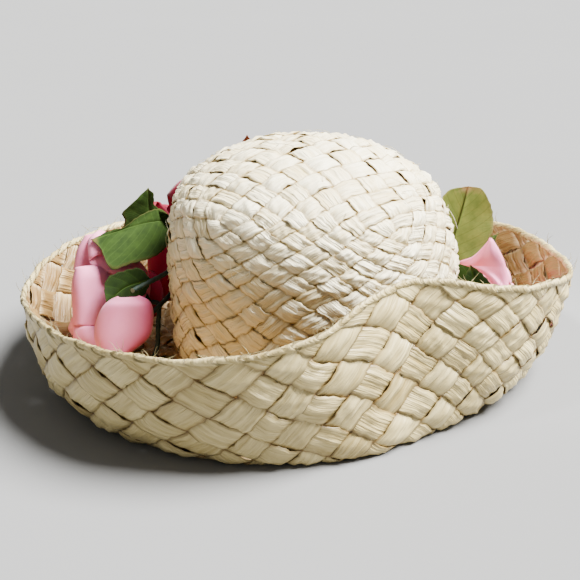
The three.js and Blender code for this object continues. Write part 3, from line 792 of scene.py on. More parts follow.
# %% Tubes
def tube(shape, line, radius, sides, step=0.0, pitch=6.0, end_look=0, **values):
    """A closed tube along a line, with the steps of a spiral of tape if asked."""
    line = np.asarray(line, float)
    along = unit(np.gradient(line, axis=0))
    side = np.zeros_like(line)
    side[0] = unit(np.cross(along[0], [0.3, 0.2, 1]))
    for k in range(1, len(line)):
        side[k] = unit(side[k - 1] - along[k] * (side[k - 1] @ along[k]))
    other = np.cross(along, side)
    theta = np.linspace(0, 2 * math.pi, sides, endpoint=False)[None, :]
    steps = np.linalg.norm(np.diff(line, axis=0), axis=1)
    far = np.concatenate([[0], np.cumsum(steps)])[:, None]
    wound = np.mod(far / pitch + theta / 2 / math.pi, 1)  # how far the tape has come in its turn
    skin = np.broadcast_to(radius, len(line))[:, None] + step * wound
    ring = line[:, None] + (skin * np.cos(theta))[..., None] * side[:, None]
    ring = ring + (skin * np.sin(theta))[..., None] * other[:, None]
    uv = np.stack([theta * 3 + 0 * far, far + 0 * theta], -1) * MM_TO_UV
    shape.add(ring, grid_faces(len(line), sides, True), uv, **values)
    for end, flip in ((0, 1), (-1, -1)):  # the two ends are closed by a small fan of quads
        rows = [ring[end] * share + line[end] * (1 - share) for share in (1, 0.5, 0.02)]
        faces = grid_faces(3, sides, True)[:, ::flip]
        shape.add(np.stack(rows), faces, np.zeros((3 * sides, 2)), end_look, **values)


print("a stem is %.1f mm across" % (2 * STEM_RADIUS))

# %% [markdown]
# ## Loose straw
# Split leaf frays. Fine threads stand off the rim, a few lie loose on the crown and the brim, and
# one strip has lifted off the crown's top in a low loop. Blender's hair could make them, but the
# exported model keeps meshes alone, and there are few enough for each to be a thin tube.

# %% Loose threads
RIM_THREADS, BRIM_THREADS, CROWN_TRIES = 150, 90, 110
THREAD_POINTS, THREAD_ROOT, THREAD_TIP = 7, 0.2, 0.07  # points of a thread, radius at its ends in mm


def thread(shape, start, heading, normal, length, curl):
    """One loose fibre that leaves a surface and bends back towards it."""
    t = np.linspace(0, 1, THREAD_POINTS)[:, None]
    line = start + heading * length * t + normal * length * curl * t * (1 - 0.7 * t)
    line = line + np.cross(heading, normal) * length * 0.25 * t**2
    line[:, 2] = np.maximum(line[:, 2], TABLE)  # a fibre under the brim lies on the table
    tube(shape, line, np.linspace(THREAD_ROOT, THREAD_TIP, THREAD_POINTS), 4, tone=0.9, gap=0.0)


def brim_place(azimuth, share):
    """One place of the brim."""
    return brim_at(np.array([azimuth]), np.array([share]))[0]


def loose_way(a, b):
    """Any direction between two that lie in the surface."""
    return unit(a * random.normal() + b * random.normal())


print("threads at the rim and on the brim", RIM_THREADS, BRIM_THREADS)

# %% Threads on the brim
loose = Shape()
for azimuth in random.random(RIM_THREADS) * 360:
    rim = brim_place(azimuth, 1)
    up = unit(rim - brim_place(azimuth, BELOW_RIM))
    along = unit(brim_place(azimuth + 1, 1) - rim)
    way = unit(up * (0.3 + random.random()) + along * random.normal() * 1.2)
    normal = np.cross(along, up) * random.choice([-1, 1])
    thread(loose, rim + up * 1.2, way, normal, 3 + 6 * random.random(), 0.5)
for azimuth, share in random.random((BRIM_THREADS, 2)):
    azimuth, share = azimuth * 360, 0.4 + 0.5 * share
    place = brim_place(azimuth, share)
    along = unit(brim_place(azimuth + 1, share) - place)
    up = unit(brim_place(azimuth, share + 0.02) - place)
    outward = np.cross(up, along)
    thread(loose, place + outward * 2.4, loose_way(along, up), outward, 6 + 9 * random.random(), 0.35)
finish_piece(loose.build("brim_threads", [brim_straw]), "brim")
print("threads on the brim", RIM_THREADS + BRIM_THREADS)

# %% Threads and a lifted strip on the crown
LOOP = [(-41, 26, 131), (-34, 27, 137.5), (-25, 27, 140.5), (-16, 26, 140)]  # mm, along the lifted strip
LOOP_POINTS, LOOP_ACROSS = 20, 7
LOOP_WIDTH, LOOP_HOLLOW = np.array([0.8, 4.0, -1.2]), np.array([0, 0, 0.8])  # mm, half its width

loose = Shape()
for x, y in random.uniform(-150, 150, (CROWN_TRIES, 2)):
    place, beside, above = (crown_at(np.array(flat)) for flat in ((x, y), (x + 1, y), (x, y + 1)))
    if np.hypot(x, y) < CROWN_ARC - 12:
        across, down = unit(beside - place), unit(above - place)
        normal = unit(np.cross(across, down))
        way = loose_way(across, down)
        thread(loose, place + normal * 1.9, way, normal, 5 + 9 * random.random(), 0.35)
line = smooth_line(LOOP, LOOP_POINTS)[0]
width = np.linspace(-1, 1, LOOP_ACROSS)
ribbon = line[:, None] + width[None, :, None] * LOOP_WIDTH - (1 - width**2)[None, :, None] * LOOP_HOLLOW
uv = np.stack(np.broadcast_arrays(width * 5, np.arange(LOOP_POINTS)[:, None] * 1.5), -1) * MM_TO_UV
loose.add(ribbon, grid_faces(LOOP_POINTS, LOOP_ACROSS), uv, tone=0.8)
finish_piece(loose.build("crown_threads", [crown_straw]), "crown")
print("points of loose straw on the crown", loose.count)

# %% [markdown]
# ## Stems
# Each stem is iron wire bound in a spiral of dark green paper tape, cut off bare at its end. The
# tape is crepe paper with wax in it: dull, with fine wrinkles across the stem. The wrinkles are
# noise that is squeezed along the stem, and the turns of the tape are in the mesh itself.

# %% Tape and wire
WRINKLES = (20, 160, 1)  # in 100 mm, round the stem and along it: 0.6 mm apart, as on crepe paper
TAPE_THICK = 0.3


def tape():
    """Crepe paper tape, waxed: dark green and dull."""
    material, tree, shader = new_material("waxed_stem_tape", 0.6)
    uv = add(tree, "ShaderNodeUVMap", {"uv_map": "UVMap"}).outputs[0]
    place = add(tree, "ShaderNodeVectorMath", TIMES, i0=uv, i1=WRINKLES).outputs[0]
    wrinkle = add(tree, "ShaderNodeTexNoise", Vector=place, Scale=1.0, Detail=2.0).outputs["Fac"]
    colour = add(tree, "ShaderNodeMix", COLOURS, i0=wrinkle, i6=linear("#0c1a15"), i7=linear("#1f3b2d"))
    tree.links.new(colour.outputs[2], shader.inputs["Base Color"])
    bump = add(tree, "ShaderNodeBump", Strength=0.6, Distance=0.0003, Height=wrinkle)
    tree.links.new(bump.outputs[0], shader.inputs["Normal"])
    return material


def bare_wire():
    """Iron wire where it was snipped: a grey metal with fine scratches from the cutter."""
    material, tree, shader = new_material("cut_wire", 0.4, Metallic=0.9)
    scratch = add(tree, "ShaderNodeTexNoise", Scale=900.0).outputs["Fac"]
    colour = add(tree, "ShaderNodeMix", COLOURS, i0=scratch, i6=linear("#4c6a66"), i7=linear("#9db4af"))
    tree.links.new(colour.outputs[2], shader.inputs["Base Color"])
    return material


stem_tape, cut_wire = tape(), bare_wire()
print("stems", stem_tape.name, cut_wire.name)

# %% Stems
for name in STEMS:
    line, length = stem_line(name)
    shape = Shape()
    tube(shape, line, STEM_RADIUS - 0.25, 12, step=TAPE_THICK, end_look=1, tone=0.5)
    finish_piece(shape.build(name + "_taped", [stem_tape, cut_wire]), name)
    print(name, "%.0f mm" % length)

# %% [markdown]
# ## Leaves
# The leaves are stiffened cloth, dyed green with brown tips, pressed with a midrib and side veins
# and glued to a wire stalk. A flat plane could be cut out with a picture of a leaf, but its edge
# would be thin air. So a leaf is a sheet between its midrib and its two edges, and the solidify
# modifier gives it the thickness of the cloth. Most edges are a plain rose leaf. The four that the
# camera sees well have edges of their own.

# %% Leaf outlines
PLAIN_EDGE = [  # share of the blade's length, share of its half width
    (0, 0), (0.05, 0.4), (0.17, 0.8), (0.36, 1), (0.56, 0.95), (0.76, 0.68), (0.91, 0.32), (1, 0),
]
OWN_OUTLINES = {  # midrib and both edges: share of the leaf's length, mm across
    "leaf_left_front": (
        [(0.12, 14), (0.3, 20), (0.5, 15), (0.77, 6), (1.08, -4)],
        [(0.12, 14), (0.18, 25), (0.34, 28), (0.5, 23), (0.68, 14), (0.8, 6), (0.93, 3), (1.08, -4)],
        [(0.12, 14), (0.24, 8), (0.4, -4), (0.51, -12), (0.66, -19), (0.83, -24), (0.98, -29),
         (1.02, -22), (1.02, -10), (1.08, -4)],
    ),
    "leaf_left_up": (
        [(0.5, 2), (0.68, -2), (0.85, 0), (1.0, 4)],
        [(0.5, 2), (0.54, 8), (0.61, 12), (0.69, 11), (0.75, 6), (0.83, 3.5), (0.92, 6), (1.0, 4)],
        [(0.5, 2), (0.52, -8), (0.58, -18), (0.7, -21), (0.8, -18), (0.87, -18), (0.93, -9), (1.0, 4)],
    ),
    "leaf_left_low": (
        [(0.08, 1), (0.5, 4), (0.93, -1)],
        [(0.08, 2), (0.14, 10), (0.4, 13.5), (0.66, 14), (0.76, 11), (0.86, 5), (0.93, -1)],
        [(0.08, 0), (0.3, -6), (0.5, -7), (0.72, -4), (0.93, -1)],
    ),
    "leaf_right_up": (
        [(0.38, -7), (0.6, -7.5), (0.8, -5.5), (1.0, -4)],
        [(0.38, -7), (0.43, 2), (0.49, 8), (0.61, 15), (0.73, 16.2), (0.86, 13.6), (0.95, 9),
         (1.005, 4.5), (1.0, -4)],
        [(0.38, -7), (0.43, -13), (0.55, -18), (0.75, -21), (0.9, -19), (0.96, -15),
         (0.985, -9), (1.0, -4)],
    ),
}
print("leaves with an outline of their own", len(OWN_OUTLINES))

# %% Where a leaf sits
STEM_STEPS = 400


def leaf_frame(name):
    """Root on the stem's middle, foot, length and the three directions of a leaf."""
    stem, share, tip, up = LEAVES[name][:4]
    line, _ = stem_line(stem, STEM_STEPS + 1)
    k = int(round(share * STEM_STEPS))
    tangent = unit(line[min(k + 1, STEM_STEPS)] - line[max(k - 1, 0)])
    away = unit(np.array(tip) - line[k])
    away = unit(away - tangent * (away @ tangent))
    foot = line[k] + away * (STEM_RADIUS + GAP)
    along = unit(np.array(tip) - foot)
    up = unit(np.array(up) - along * (np.array(up) @ along))
    return line[k], foot, np.linalg.norm(np.array(tip) - foot), along, up, np.cross(along, up)


print("foot of the tallest leaf", leaf_frame("leaf_back_tall")[1].round(1))

# %% Leaf blades
LEAF_ALONG, LEAF_ACROSS = 30, 12  # faces along a leaf, and from its midrib to its edge
VEIN_GAP, VEIN_SLANT = 6.5, 0.75  # mm from one side vein to the next, and how they slant
VEIN_DEEP, RIB_DEEP, RIB_WIDE = 0.32, 0.55, 0.9  # mm that the press has sunk them
LEAF_WAVE, LEAF_RUFFLE, EDGE_WAVE = 1.1, 0.5, 0.35  # mm


def leaf_outline(name, length):
    """Midrib and both edges of a leaf in mm, as lines."""
    stalk, half = LEAVES[name][4:6]
    if name in OWN_OUTLINES:
        lines = OWN_OUTLINES[name]
    else:
        edge = [(stalk + (1 - stalk) * s, half * w) for s, w in PLAIN_EDGE]
        lines = [(stalk, 0), ((1 + stalk) / 2, 0), (1, 0)], edge, [(s, -w) for s, w in edge]
    return [smooth_line(np.array(line) * [length, 1], LEAF_ALONG + 1) for line in lines]


def leaf_shape(name):
    """The blade of one leaf, the three points that its stalk runs through, and its length."""
    fold, arch = LEAVES[name][6:]
    fold = math.radians(fold)
    root, foot, length, along, up, across = leaf_frame(name)
    (rib, rib_length), *edges = leaf_outline(name, length)
    phase = random.random(4) * TURN
    u = np.linspace(0, 1, LEAF_ACROSS + 1)[None, :] + np.zeros((LEAF_ALONG + 1, 1))
    v = np.linspace(0, 1, LEAF_ALONG + 1)[:, None] + 0 * u
    shape = Shape()
    for (line, _), way in zip(edges, (1, -1)):
        flat = rib[:, None] * (1 - u[..., None]) + line[:, None] * u[..., None]
        s = np.clip(flat[..., 0] / length, 0, 1)
        off = np.abs(flat[..., 1] - rib[:, None, 1])
        rise = arch * 4 * s * (1 - s) + off * math.sin(fold)
        spread = flat[..., 1] * math.cos(fold)
        points = foot + along * flat[..., :1] + across * spread[..., None] + up * rise[..., None]
        reach = np.linalg.norm(flat - rib[:, None], axis=-1)
        vein = np.mod((v * rib_length - VEIN_SLANT * reach) / VEIN_GAP, 1)
        groove = -VEIN_DEEP * np.exp(-((np.minimum(vein, 1 - vein) / 0.12) ** 2))
        groove = groove * np.sin(math.pi * np.clip(u, 0, 1)) ** 0.5
        groove = groove - RIB_DEEP * np.exp(-((reach / RIB_WIDE) ** 2))
        wave = LEAF_WAVE * u**2 * np.sin(v * 9 + phase[0] + way)
        wave = wave + LEAF_RUFFLE * u * np.sin(v * 17 + phase[1])
        points = points + up * ((groove + wave) * (1 - np.exp(-v * 6)))[..., None]
        edge_wave = EDGE_WAVE * u**4 * np.sin(v * rib_length * 1.5 + phase[2])
        points = points + across * (edge_wave * way)[..., None]
        uv = np.stack([reach * way, v * rib_length], -1) * MM_TO_UV
        shape.add(points, grid_faces(LEAF_ALONG + 1, LEAF_ACROSS + 1)[:, ::-way], uv, tip=v, edge=u)
    return shape, [root, foot, shape.points[0][0]], length


print("side veins of a leaf are", VEIN_GAP, "mm apart")

# %% [markdown]
# The real cloth is starched cotton, dyed in the piece and then pressed: a dull face with a fine
# weave, lighter veins, and browned tips and rims that make a new leaf look like one off a rose. A
# drawn pattern would need a picture, so the veins are worked out from the UV, as the grooves are.

# %% Leaf cloth
# Real threads are 0.4 mm apart. These waves are 0.8 mm apart, so that they show.
LEAF_THREADS = {"Scale": 40.0, "Distortion": 2.0, "Detail": 2.0}
LEAF_ROUGH, LEAF_GLOSS = 0.8, 0.08


def leaf_cloth(name, light, dark, tip_colour, vein_colour, brown_from=1.08):
    """Starched cotton in one dye, browned from a share of its length on."""
    material, tree, shader = new_material(name, LEAF_ROUGH, Specular_IOR_Level=LEAF_GLOSS)
    uv = add(tree, "ShaderNodeUVMap", {"uv_map": "UVMap"}).outputs[0]
    parts = add(tree, "ShaderNodeSeparateXYZ", i0=uv)
    tip = add(tree, "ShaderNodeAttribute", {"attribute_name": "tip"}).outputs["Fac"]
    edge = add(tree, "ShaderNodeAttribute", {"attribute_name": "edge"}).outputs["Fac"]
    blotch = add(tree, "ShaderNodeTexNoise", Vector=uv, Scale=9.0, Detail=3.0, Roughness=0.6)
    blotch = blotch.outputs["Fac"]
    share = add(tree, "ShaderNodeMapRange", i0=blotch, i1=0.3, i2=0.7).outputs[0]
    face = add(tree, "ShaderNodeMix", COLOURS, i0=share, i6=linear(dark), i7=linear(light)).outputs[2]
    reach = add(tree, "ShaderNodeMath", {"operation": "ABSOLUTE"}, i0=parts.outputs[0]).outputs[0]
    rib = add(tree, "ShaderNodeMapRange", i0=reach, i1=0.004, i2=0.009, i3=1.0, i4=0.0).outputs[0]
    back = add(tree, "ShaderNodeMath", TIMES_PLUS, i0=reach, i1=-VEIN_SLANT, i2=parts.outputs[1])
    half_gap = VEIN_GAP / 2 * MM_TO_UV
    turn = add(tree, "ShaderNodeMath", THERE_AND_BACK, i0=back.outputs[0], i1=half_gap).outputs[0]
    side = add(tree, "ShaderNodeMapRange", i0=turn, i1=0.001, i2=0.005, i3=0.35, i4=0.0).outputs[0]
    veins = add(tree, "ShaderNodeMath", LARGER, i0=rib, i1=side).outputs[0]
    veined = add(tree, "ShaderNodeMix", COLOURS, i0=veins, i6=face, i7=linear(vein_colour)).outputs[2]
    browned = add(tree, "ShaderNodeMath", TIMES_PLUS, i0=blotch, i1=0.35, i2=tip).outputs[0]
    brown_to = brown_from + 0.17
    brown = add(tree, "ShaderNodeMapRange", i0=browned, i1=brown_from, i2=brown_to, i3=0.0, i4=0.85)
    rim = add(tree, "ShaderNodeMapRange", i0=edge, i1=0.9, i2=1.0, i3=0.0, i4=0.25)
    worn = add(tree, "ShaderNodeMath", LARGER, i0=brown.outputs[0], i1=rim.outputs[0]).outputs[0]
    whole = add(tree, "ShaderNodeMix", COLOURS, i0=worn, i6=veined, i7=linear(tip_colour))
    tree.links.new(whole.outputs[2], shader.inputs["Base Color"])
    warp = add(tree, "ShaderNodeTexWave", ACROSS_BANDS, Vector=uv, **LEAF_THREADS)
    weft = add(tree, "ShaderNodeTexWave", ALONG_BANDS, Vector=uv, **LEAF_THREADS)
    weave = add(tree, "ShaderNodeMath", PLUS, i0=warp.outputs["Fac"], i1=weft.outputs["Fac"])
    bump = add(tree, "ShaderNodeBump", Strength=0.25, Distance=0.0002, Height=weave.outputs[0])
    tree.links.new(bump.outputs[0], shader.inputs["Normal"])
    return material


# One green in copies of different brightness that stand in for light and shade: the pale one is a
# painted light for the leaf in the sun at the right, the deep and dark ones carry painted shade for the
# leaves low in the trough.
deep_leaf = leaf_cloth("dyed_leaf_cloth", "#2b3e13", "#1a290b", "#64502c", "#394d20")
shaded_leaf = leaf_cloth("leaf_cloth_painted_shade", "#22340f", "#121e08", "#40361a", "#304418")
lit_leaf = leaf_cloth("leaf_cloth_painted_light", "#737e3e", "#526330", "#8c6a4e", "#3f4a20", 1.02)
brown_leaf = leaf_cloth("browned_leaf_cloth", "#2c4016", "#1a280c", "#7c3e2a", "#38461c", 0.85)
LEAF_LOOKS = {  # the others wear the deep one
    "leaf_left_low": shaded_leaf, "leaf_right_low": shaded_leaf, "leaf_left_floor": shaded_leaf,
    "leaf_right_up": lit_leaf, "leaf_back_tall": brown_leaf,
}
print("leaf cloths", sorted({look.name for look in LEAF_LOOKS.values()} | {deep_leaf.name}))

# %% Leaves
LEAF_THICK = 0.3  # mm
STALK_POINTS, STALK_ROOT, STALK_TIP = 24, 0.9, 0.6  # points of a stalk, radius at its ends in mm

for name in LEAVES:
    shape, stalk, length = leaf_shape(name)
    radius = np.linspace(STALK_ROOT, STALK_TIP, STALK_POINTS)
    tube(shape, smooth_line(stalk, STALK_POINTS)[0], radius, 8, tip=0.0, edge=0.0)
    piece = shape.build(name + "_cloth", [LEAF_LOOKS.get(name, deep_leaf)])
    finish_piece(piece, name, LEAF_THICK)
    print(name, "%.0f mm long" % length)

# %% [markdown]
# ## Roses
# A cloth rose is a bud with petals glued round it, wide cupped ones outside with their lips rolled
# back. A cloth simulation could curl them, but pressed petals hold the shape of the hot iron ball
# that made them, so each is worked out: a sheet that follows its side line from the calyx to the lip
# and on round the roll. Its middle stands proud of its edges, so it reads as a puff of its own.

# %% Petals
PETALS = [  # place round the rose and half the spread in degrees, reach and height in mm
    (-122, 44, 35, 34), (-58, 42, 33, 50), (8, 45, 32, 46), (78, 45, 34, 42), (150, 46, 34, 44),
    (-148, 46, 26, 49), (-20, 60, 22, 47), (100, 60, 23, 46),
]
INNER_PETALS = [
    (200, 70, 17, 45), (60, 72, 16, 46), (-60, 75, 14, 45), (140, 85, 11, 44), (10, 90, 9, 45),
]
CALYX_Z = 4  # mm, the height of the calyx, where the petals start
ROLL, INNER_ROLL, ROLL_TURN = 3, 2, math.radians(150)  # mm and angle of the lip's roll
PETAL_ALONG, PETAL_ACROSS = 22, 18  # faces


def petal_side(reach, height, roll):
    """The side line of a petal: its way out from the calyx, then up to the lip and round the roll."""
    start, low = np.array([3, CALYX_Z]), np.array([reach * 1.2, -0.05 * height])
    lip, end = np.array([reach * 0.6, height * 1.3]), np.array([reach * 1.12, height * 0.9])
    side = bezier(start, low, lip, end, np.linspace(0, 1, 30))
    heading = math.atan2(*(end - lip)[::-1])
    turn = np.linspace(0, ROLL_TURN, 14)[1:]
    curl = np.stack([np.sin(turn), np.cos(turn) - 1], 1) * roll
    spin = np.array([[math.cos(heading), -math.sin(heading)], [math.sin(heading), math.cos(heading)]])
    return evenly(np.vstack([side, end + curl @ spin.T]), PETAL_ALONG + 1)[0]


def petal(shape, to_place, place, half, reach, height, roll, number):
    """One petal of a rose. to_place takes points of the rose's own frame to the hat's."""
    side = petal_side(reach, height, roll)
    v = np.linspace(0, 1, PETAL_ALONG + 1)[:, None]
    u = np.linspace(-1, 1, PETAL_ACROSS + 1)[None, :]
    phase = random.random(4) * TURN
    spread = half * np.clip(np.sin(math.pi * (0.1 + 0.82 * v)), 0, 1) ** 0.55
    angle = np.radians(place + u * spread)
    bulge = 1 + 0.07 * u - 0.13 * np.abs(u) ** 2.5
    wave = 0.8 * v**2 * np.sin(3.2 * u + phase[0]) + 0.4 * v**2 * np.sin(7 * u + phase[1])
    radius = side[:, :1] * bulge + wave
    z = side[:, 1:] - 4.5 * np.abs(u) ** 2.2 * v + 0.7 * v * np.sin(4 * u + phase[2])
    local = np.stack([radius * np.cos(angle), radius * np.sin(angle), z + 0 * angle], -1)
    uv = np.stack([u * half * 0.5 + 0 * v + number * 40, v * 60 + 0 * u], -1) * MM_TO_UV
    faces = grid_faces(PETAL_ALONG + 1, PETAL_ACROSS + 1)
    # painted shade towards the sides of the petal
    shape.add(to_place(local), faces, uv, petal_v=v + 0 * u, petal_u=np.abs(u) + 0 * v)


print("petals of a rose", len(PETALS) + len(INNER_PETALS))

# %% [markdown]
# Two red petals hang from the left red rose, down behind the pink one. A petal that hangs is seen
# from its outside, so it is a cupped sheet, with its sides and ends tucked in behind.

# %% Hanging petals
PUFFS = {  # middle, half width and height, depth in mm; way it faces, squareness, taper
    "rose_red_left": [
        ((-99, 60, 44), 12, 27, 8, (-92, 8), 0.6, 0.2),
        ((-110, 52, 24), 10, 16, 8, (-100, 10), 0.7, 0),
    ],
}
PUFF_ALONG, PUFF_ACROSS = 26, 24  # faces
TUCK_ENDS, TUCK_SIDES = 1.52, 1.85  # radians that a cupped petal turns to each of its ends and sides


def puff(shape, middle, wide, high, deep, way, square, taper, number):
    """A petal seen from outside: a cupped sheet whose sides and ends are tucked in behind."""
    out = direction(*way)
    right = unit(np.cross([0, 0, 1], out))
    upward = np.cross(out, right)
    v = np.linspace(-1, 1, PUFF_ALONG + 1)[:, None]
    u = np.linspace(-1, 1, PUFF_ACROSS + 1)[None, :]
    phase = random.random(4) * TURN
    slope, turn = TUCK_ENDS * v, TUCK_SIDES * u
    full = np.cos(slope) ** square
    width = wide * (1 - taper * np.clip(v, 0, 1) ** 1.3) * (1 + 0.04 * np.sin(3 * v + phase[0]))
    wave = 0.35 * np.sin(4 * u + 2 * v + phase[1])
    proud = deep * np.cos(turn) * full + wave + 0.25 * np.sin(7 * u - 3 * v + phase[2])
    rise = high * np.sin(slope) + 0.8 * np.sin(2.5 * u + phase[3]) * v
    points = np.array(middle) + (width * np.sin(turn) * full)[..., None] * right
    points = points + proud[..., None] * out + rise[..., None] * upward
    fade = 0.82 + 0.1 * v - 0.25 * np.abs(v) ** 6 + 0 * u  # painted shade at both ends, where the petal tucks in
    uv = np.stack([u * wide * 1.3 + 0 * v + number * 40, v * high + 0 * u], -1) * MM_TO_UV
    faces = grid_faces(PUFF_ALONG + 1, PUFF_ACROSS + 1)
    # the ends also get the painted rim shade
    shape.add(points, faces, uv, petal_v=fade, petal_u=0.9 * np.abs(v) ** 3 + 0 * u)


print("hanging petals", sum(len(rows) for rows in PUFFS.values()))

# %% [markdown]
# The pink petals at the two sides are the ones that a viewer knows the hat by, so they are draped one by
# one, in place of those of the ring that would lie there. Each is stretched between two edges. It is
# hard to judge such an edge in space and easy in the view, so its points are given by where they show in
# the view and how far behind the hat's axis they lie.

# %% The view that the edges are given in
VIEW_MIDDLE, VIEW_FOCUS = (313, 360), 1332  # px: where the axis of the hat shows, and the focal length
VIEW_DISTANCE = 850  # mm from the camera to the foot of the axis
VIEW_COS, VIEW_SIN = 0.9135, 0.4067  # of the 24 degrees that the camera looks down


def seen(place):
    """The place in mm of a point of the view, px across and down, that lies y behind the axis."""
    across, down, y = place
    across, down = (across - VIEW_MIDDLE[0]) / VIEW_FOCUS, (VIEW_MIDDLE[1] - down) / VIEW_FOCUS
    near = VIEW_DISTANCE + VIEW_COS * y
    z = (down * near - VIEW_SIN * y) / (VIEW_COS + VIEW_SIN * down)
    return across * (near - VIEW_SIN * z), y, z


print("the foot of the axis is seen at", VIEW_MIDDLE)

# %% Draped petals
HIDDEN_PETALS = {  # those of the ring whose place a draped one takes
    "rose_pink_left": (0, 1, 6), "rose_pink_right": (0, 4, 5),
}
DRAPES = {  # left edge, right edge, mm that it stands proud, side that gets a painted shade
    "rose_pink_left": [
        ([(84, 236, 16), (77, 250, 10), (73, 271, 4)],
         [(110, 232, 22), (114, 250, 18), (116, 272, 12)], 4, 0),
        ([(76, 268, -8), (72, 285, -13), (72, 305, -17), (72, 327, -20)],
         [(110, 265, 4), (115, 285, -4), (115, 305, -12), (106, 328, -20)], 5, 0),
        ([(73, 325, -19), (72, 338, -24), (76, 353, -26)],
         [(103, 326, -22), (106, 338, -26), (106, 356, -26)], 4, 0),
        ([(117, 299, -38), (104, 306, -39), (96, 321, -42), (94, 340, -46), (101, 357, -49)],
         [(138, 298, -38), (150, 304, -38), (153, 320, -41), (149, 338, -45), (126, 358, -49)], 5, 1),
    ],
    "rose_pink_right": [
        ([(489.5, 238, 0), (471, 257, 10), (457, 262, 20), (468, 265, 12), (480, 270, 4),
          (493, 284, -4), (500, 302, -6)],
         [(490.5, 238, 0), (500, 255, -2), (505, 270, -4), (508, 285, -5), (510, 302, -6)], 3, -1),
    ],
}
DRAPE_ALONG, DRAPE_ACROSS = 30, 26  # faces
LIP = 0.25  # share of a draped petal over which its lip rises


def drape(shape, left, right, proud, shaded_side, number):
    """A petal stretched between its two edges, its middle and its lip standing proud of them."""
    edges = ([seen(place) for place in edge] for edge in (left, right))
    left, right = (smooth_line(edge, DRAPE_ALONG + 1)[0] for edge in edges)
    u = np.linspace(0, 1, DRAPE_ACROSS + 1)[None, :]
    v = np.linspace(0, 1, DRAPE_ALONG + 1)[:, None]
    off = np.abs(2 * u - 1)  # how far a point lies from the petal's middle line
    phase = random.random(4) * TURN
    side = unit(right - left)
    down = unit(np.gradient(left + right, axis=0))
    out = unit(np.cross(down, side))[:, None]
    full = np.clip(1 - off**2.4, 0, 1) ** 0.6 * np.sin(math.pi / 2 * np.clip(v / LIP, 0, 1)) ** 0.8
    rise = proud * full + 0.5 * np.sin(5 * u + 2.5 * v + phase[0]) * full
    rise = rise + 0.3 * np.sin(11 * u - 4 * v + phase[1]) * full
    points = left[:, None] * (1 - u[..., None]) + right[:, None] * u[..., None]
    points = points + rise[..., None] * out - (0.6 * proud * off**7)[..., None] * out
    # painted shade over one side of the petal
    fade = 0.52 - 0.5 * np.clip((2 * u - 1) * shaded_side, 0, 1) ** 1.4 + 0 * v
    uv = np.stack([u * 40 + 0 * v + number * 60, v * 45 + 0 * u], -1) * MM_TO_UV
    faces = grid_faces(DRAPE_ALONG + 1, DRAPE_ACROSS + 1)
    shape.add(points, faces, uv, petal_v=fade, petal_u=off**3 + 0 * v)


print("draped petals", sum(len(rows) for rows in DRAPES.values()))

# %% [markdown]
# In the middle of a rose is its bud, one long petal wound round itself, and under the petals is the
# calyx, a small green cup with five pointed sepals. Both are grids that are turned round the rose's
# axis, the bud with a radius that grows as it winds.

# %% Bud and calyx
BUD_WINDS, BUD_STEPS, BUD_ROWS = 6.5 * math.pi / 2, 90, 14
SEPALS, CALYX_STEPS, CALYX_ROWS = 5, 50, 10


def turned(radius, theta, z):
    """Points at a radius, an angle and a height of the rose's own frame."""
    return np.stack([radius * np.cos(theta), radius * np.sin(theta), z + 0 * theta], -1)


def bud(shape, to_place):
    """One long petal wound round itself."""
    t, h = np.linspace(0, 1, BUD_STEPS)[None, :], np.linspace(0, 1, BUD_ROWS)[:, None]
    theta = t * BUD_WINDS
    radius = (1.2 + 5.5 * t) * (0.45 + 0.9 * np.sin(math.pi * (0.15 + 0.62 * h)))
    z = CALYX_Z + h * (41 - 6 * t) + 0.8 * np.sin(theta * 1.7) * h
    uv = np.stack([theta * 8 + 0 * h, h * 45 + 0 * t], -1) * MM_TO_UV
    faces = grid_faces(BUD_ROWS, BUD_STEPS)
    shape.add(to_place(turned(radius, theta, z)), faces, uv, petal_v=h * 0.9 + 0 * t, petal_u=0.4)


def calyx(shape, to_place):
    """The green cup with its sepals, which wears the second material."""
    theta = np.linspace(0, 2 * math.pi, CALYX_STEPS, endpoint=False)[None, :]
    h = np.linspace(0, 1, CALYX_ROWS)[:, None]
    reach = 5 + 9 * (0.5 + 0.5 * np.cos(SEPALS * theta)) ** 1.4
    radius = 1.2 + h * (reach - 1.2)
    z = 0.2 + 6.5 * np.sin(h * 1.9) - 1.5 * h**3
    uv = np.stack([theta * 6 + 0 * h, h * 14 + 0 * theta], -1) * MM_TO_UV
    faces = grid_faces(CALYX_ROWS, CALYX_STEPS, True)
    up = h + 0 * theta
    looks = {"petal_v": up, "petal_u": 0.5, "tip": up * 0.8, "edge": 0.2}
    shape.add(to_place(turned(radius, theta, z)), faces, uv, 1, **looks)


print("the bud winds round %.1f times" % (BUD_WINDS / 2 / math.pi))

# %% A whole rose
def rose_shape(name):
    """All the petals of a rose, its bud and its calyx."""
    foot, _, _, wide, deep = ROSES[name]
    turn = Vector((0, 0, 1)).rotation_difference(Vector(facing(name))).to_matrix()
    turn, size = np.array(turn), np.array([wide, wide, deep])

    def to_place(local):
        return np.array(foot) + (local * size) @ turn.T

    # The number that ends each row only shifts the clouds of its dye.
    shape = Shape()
    for k, row in enumerate(PETALS):
        if k not in HIDDEN_PETALS.get(name, ()):
            petal(shape, to_place, *row, ROLL, k)
    for k, row in enumerate(PUFFS.get(name, ())):
        puff(shape, *row, k + 20)
    for k, row in enumerate(DRAPES.get(name, ())):
        drape(shape, *row, k + 30)
    for k, row in enumerate(INNER_PETALS):
        petal(shape, to_place, *row, INNER_ROLL, k + 10)
    bud(shape, to_place)
    calyx(shape, to_place)
    return shape


print("sheets of a plain rose", len(PETALS) + len(INNER_PETALS) + 2)
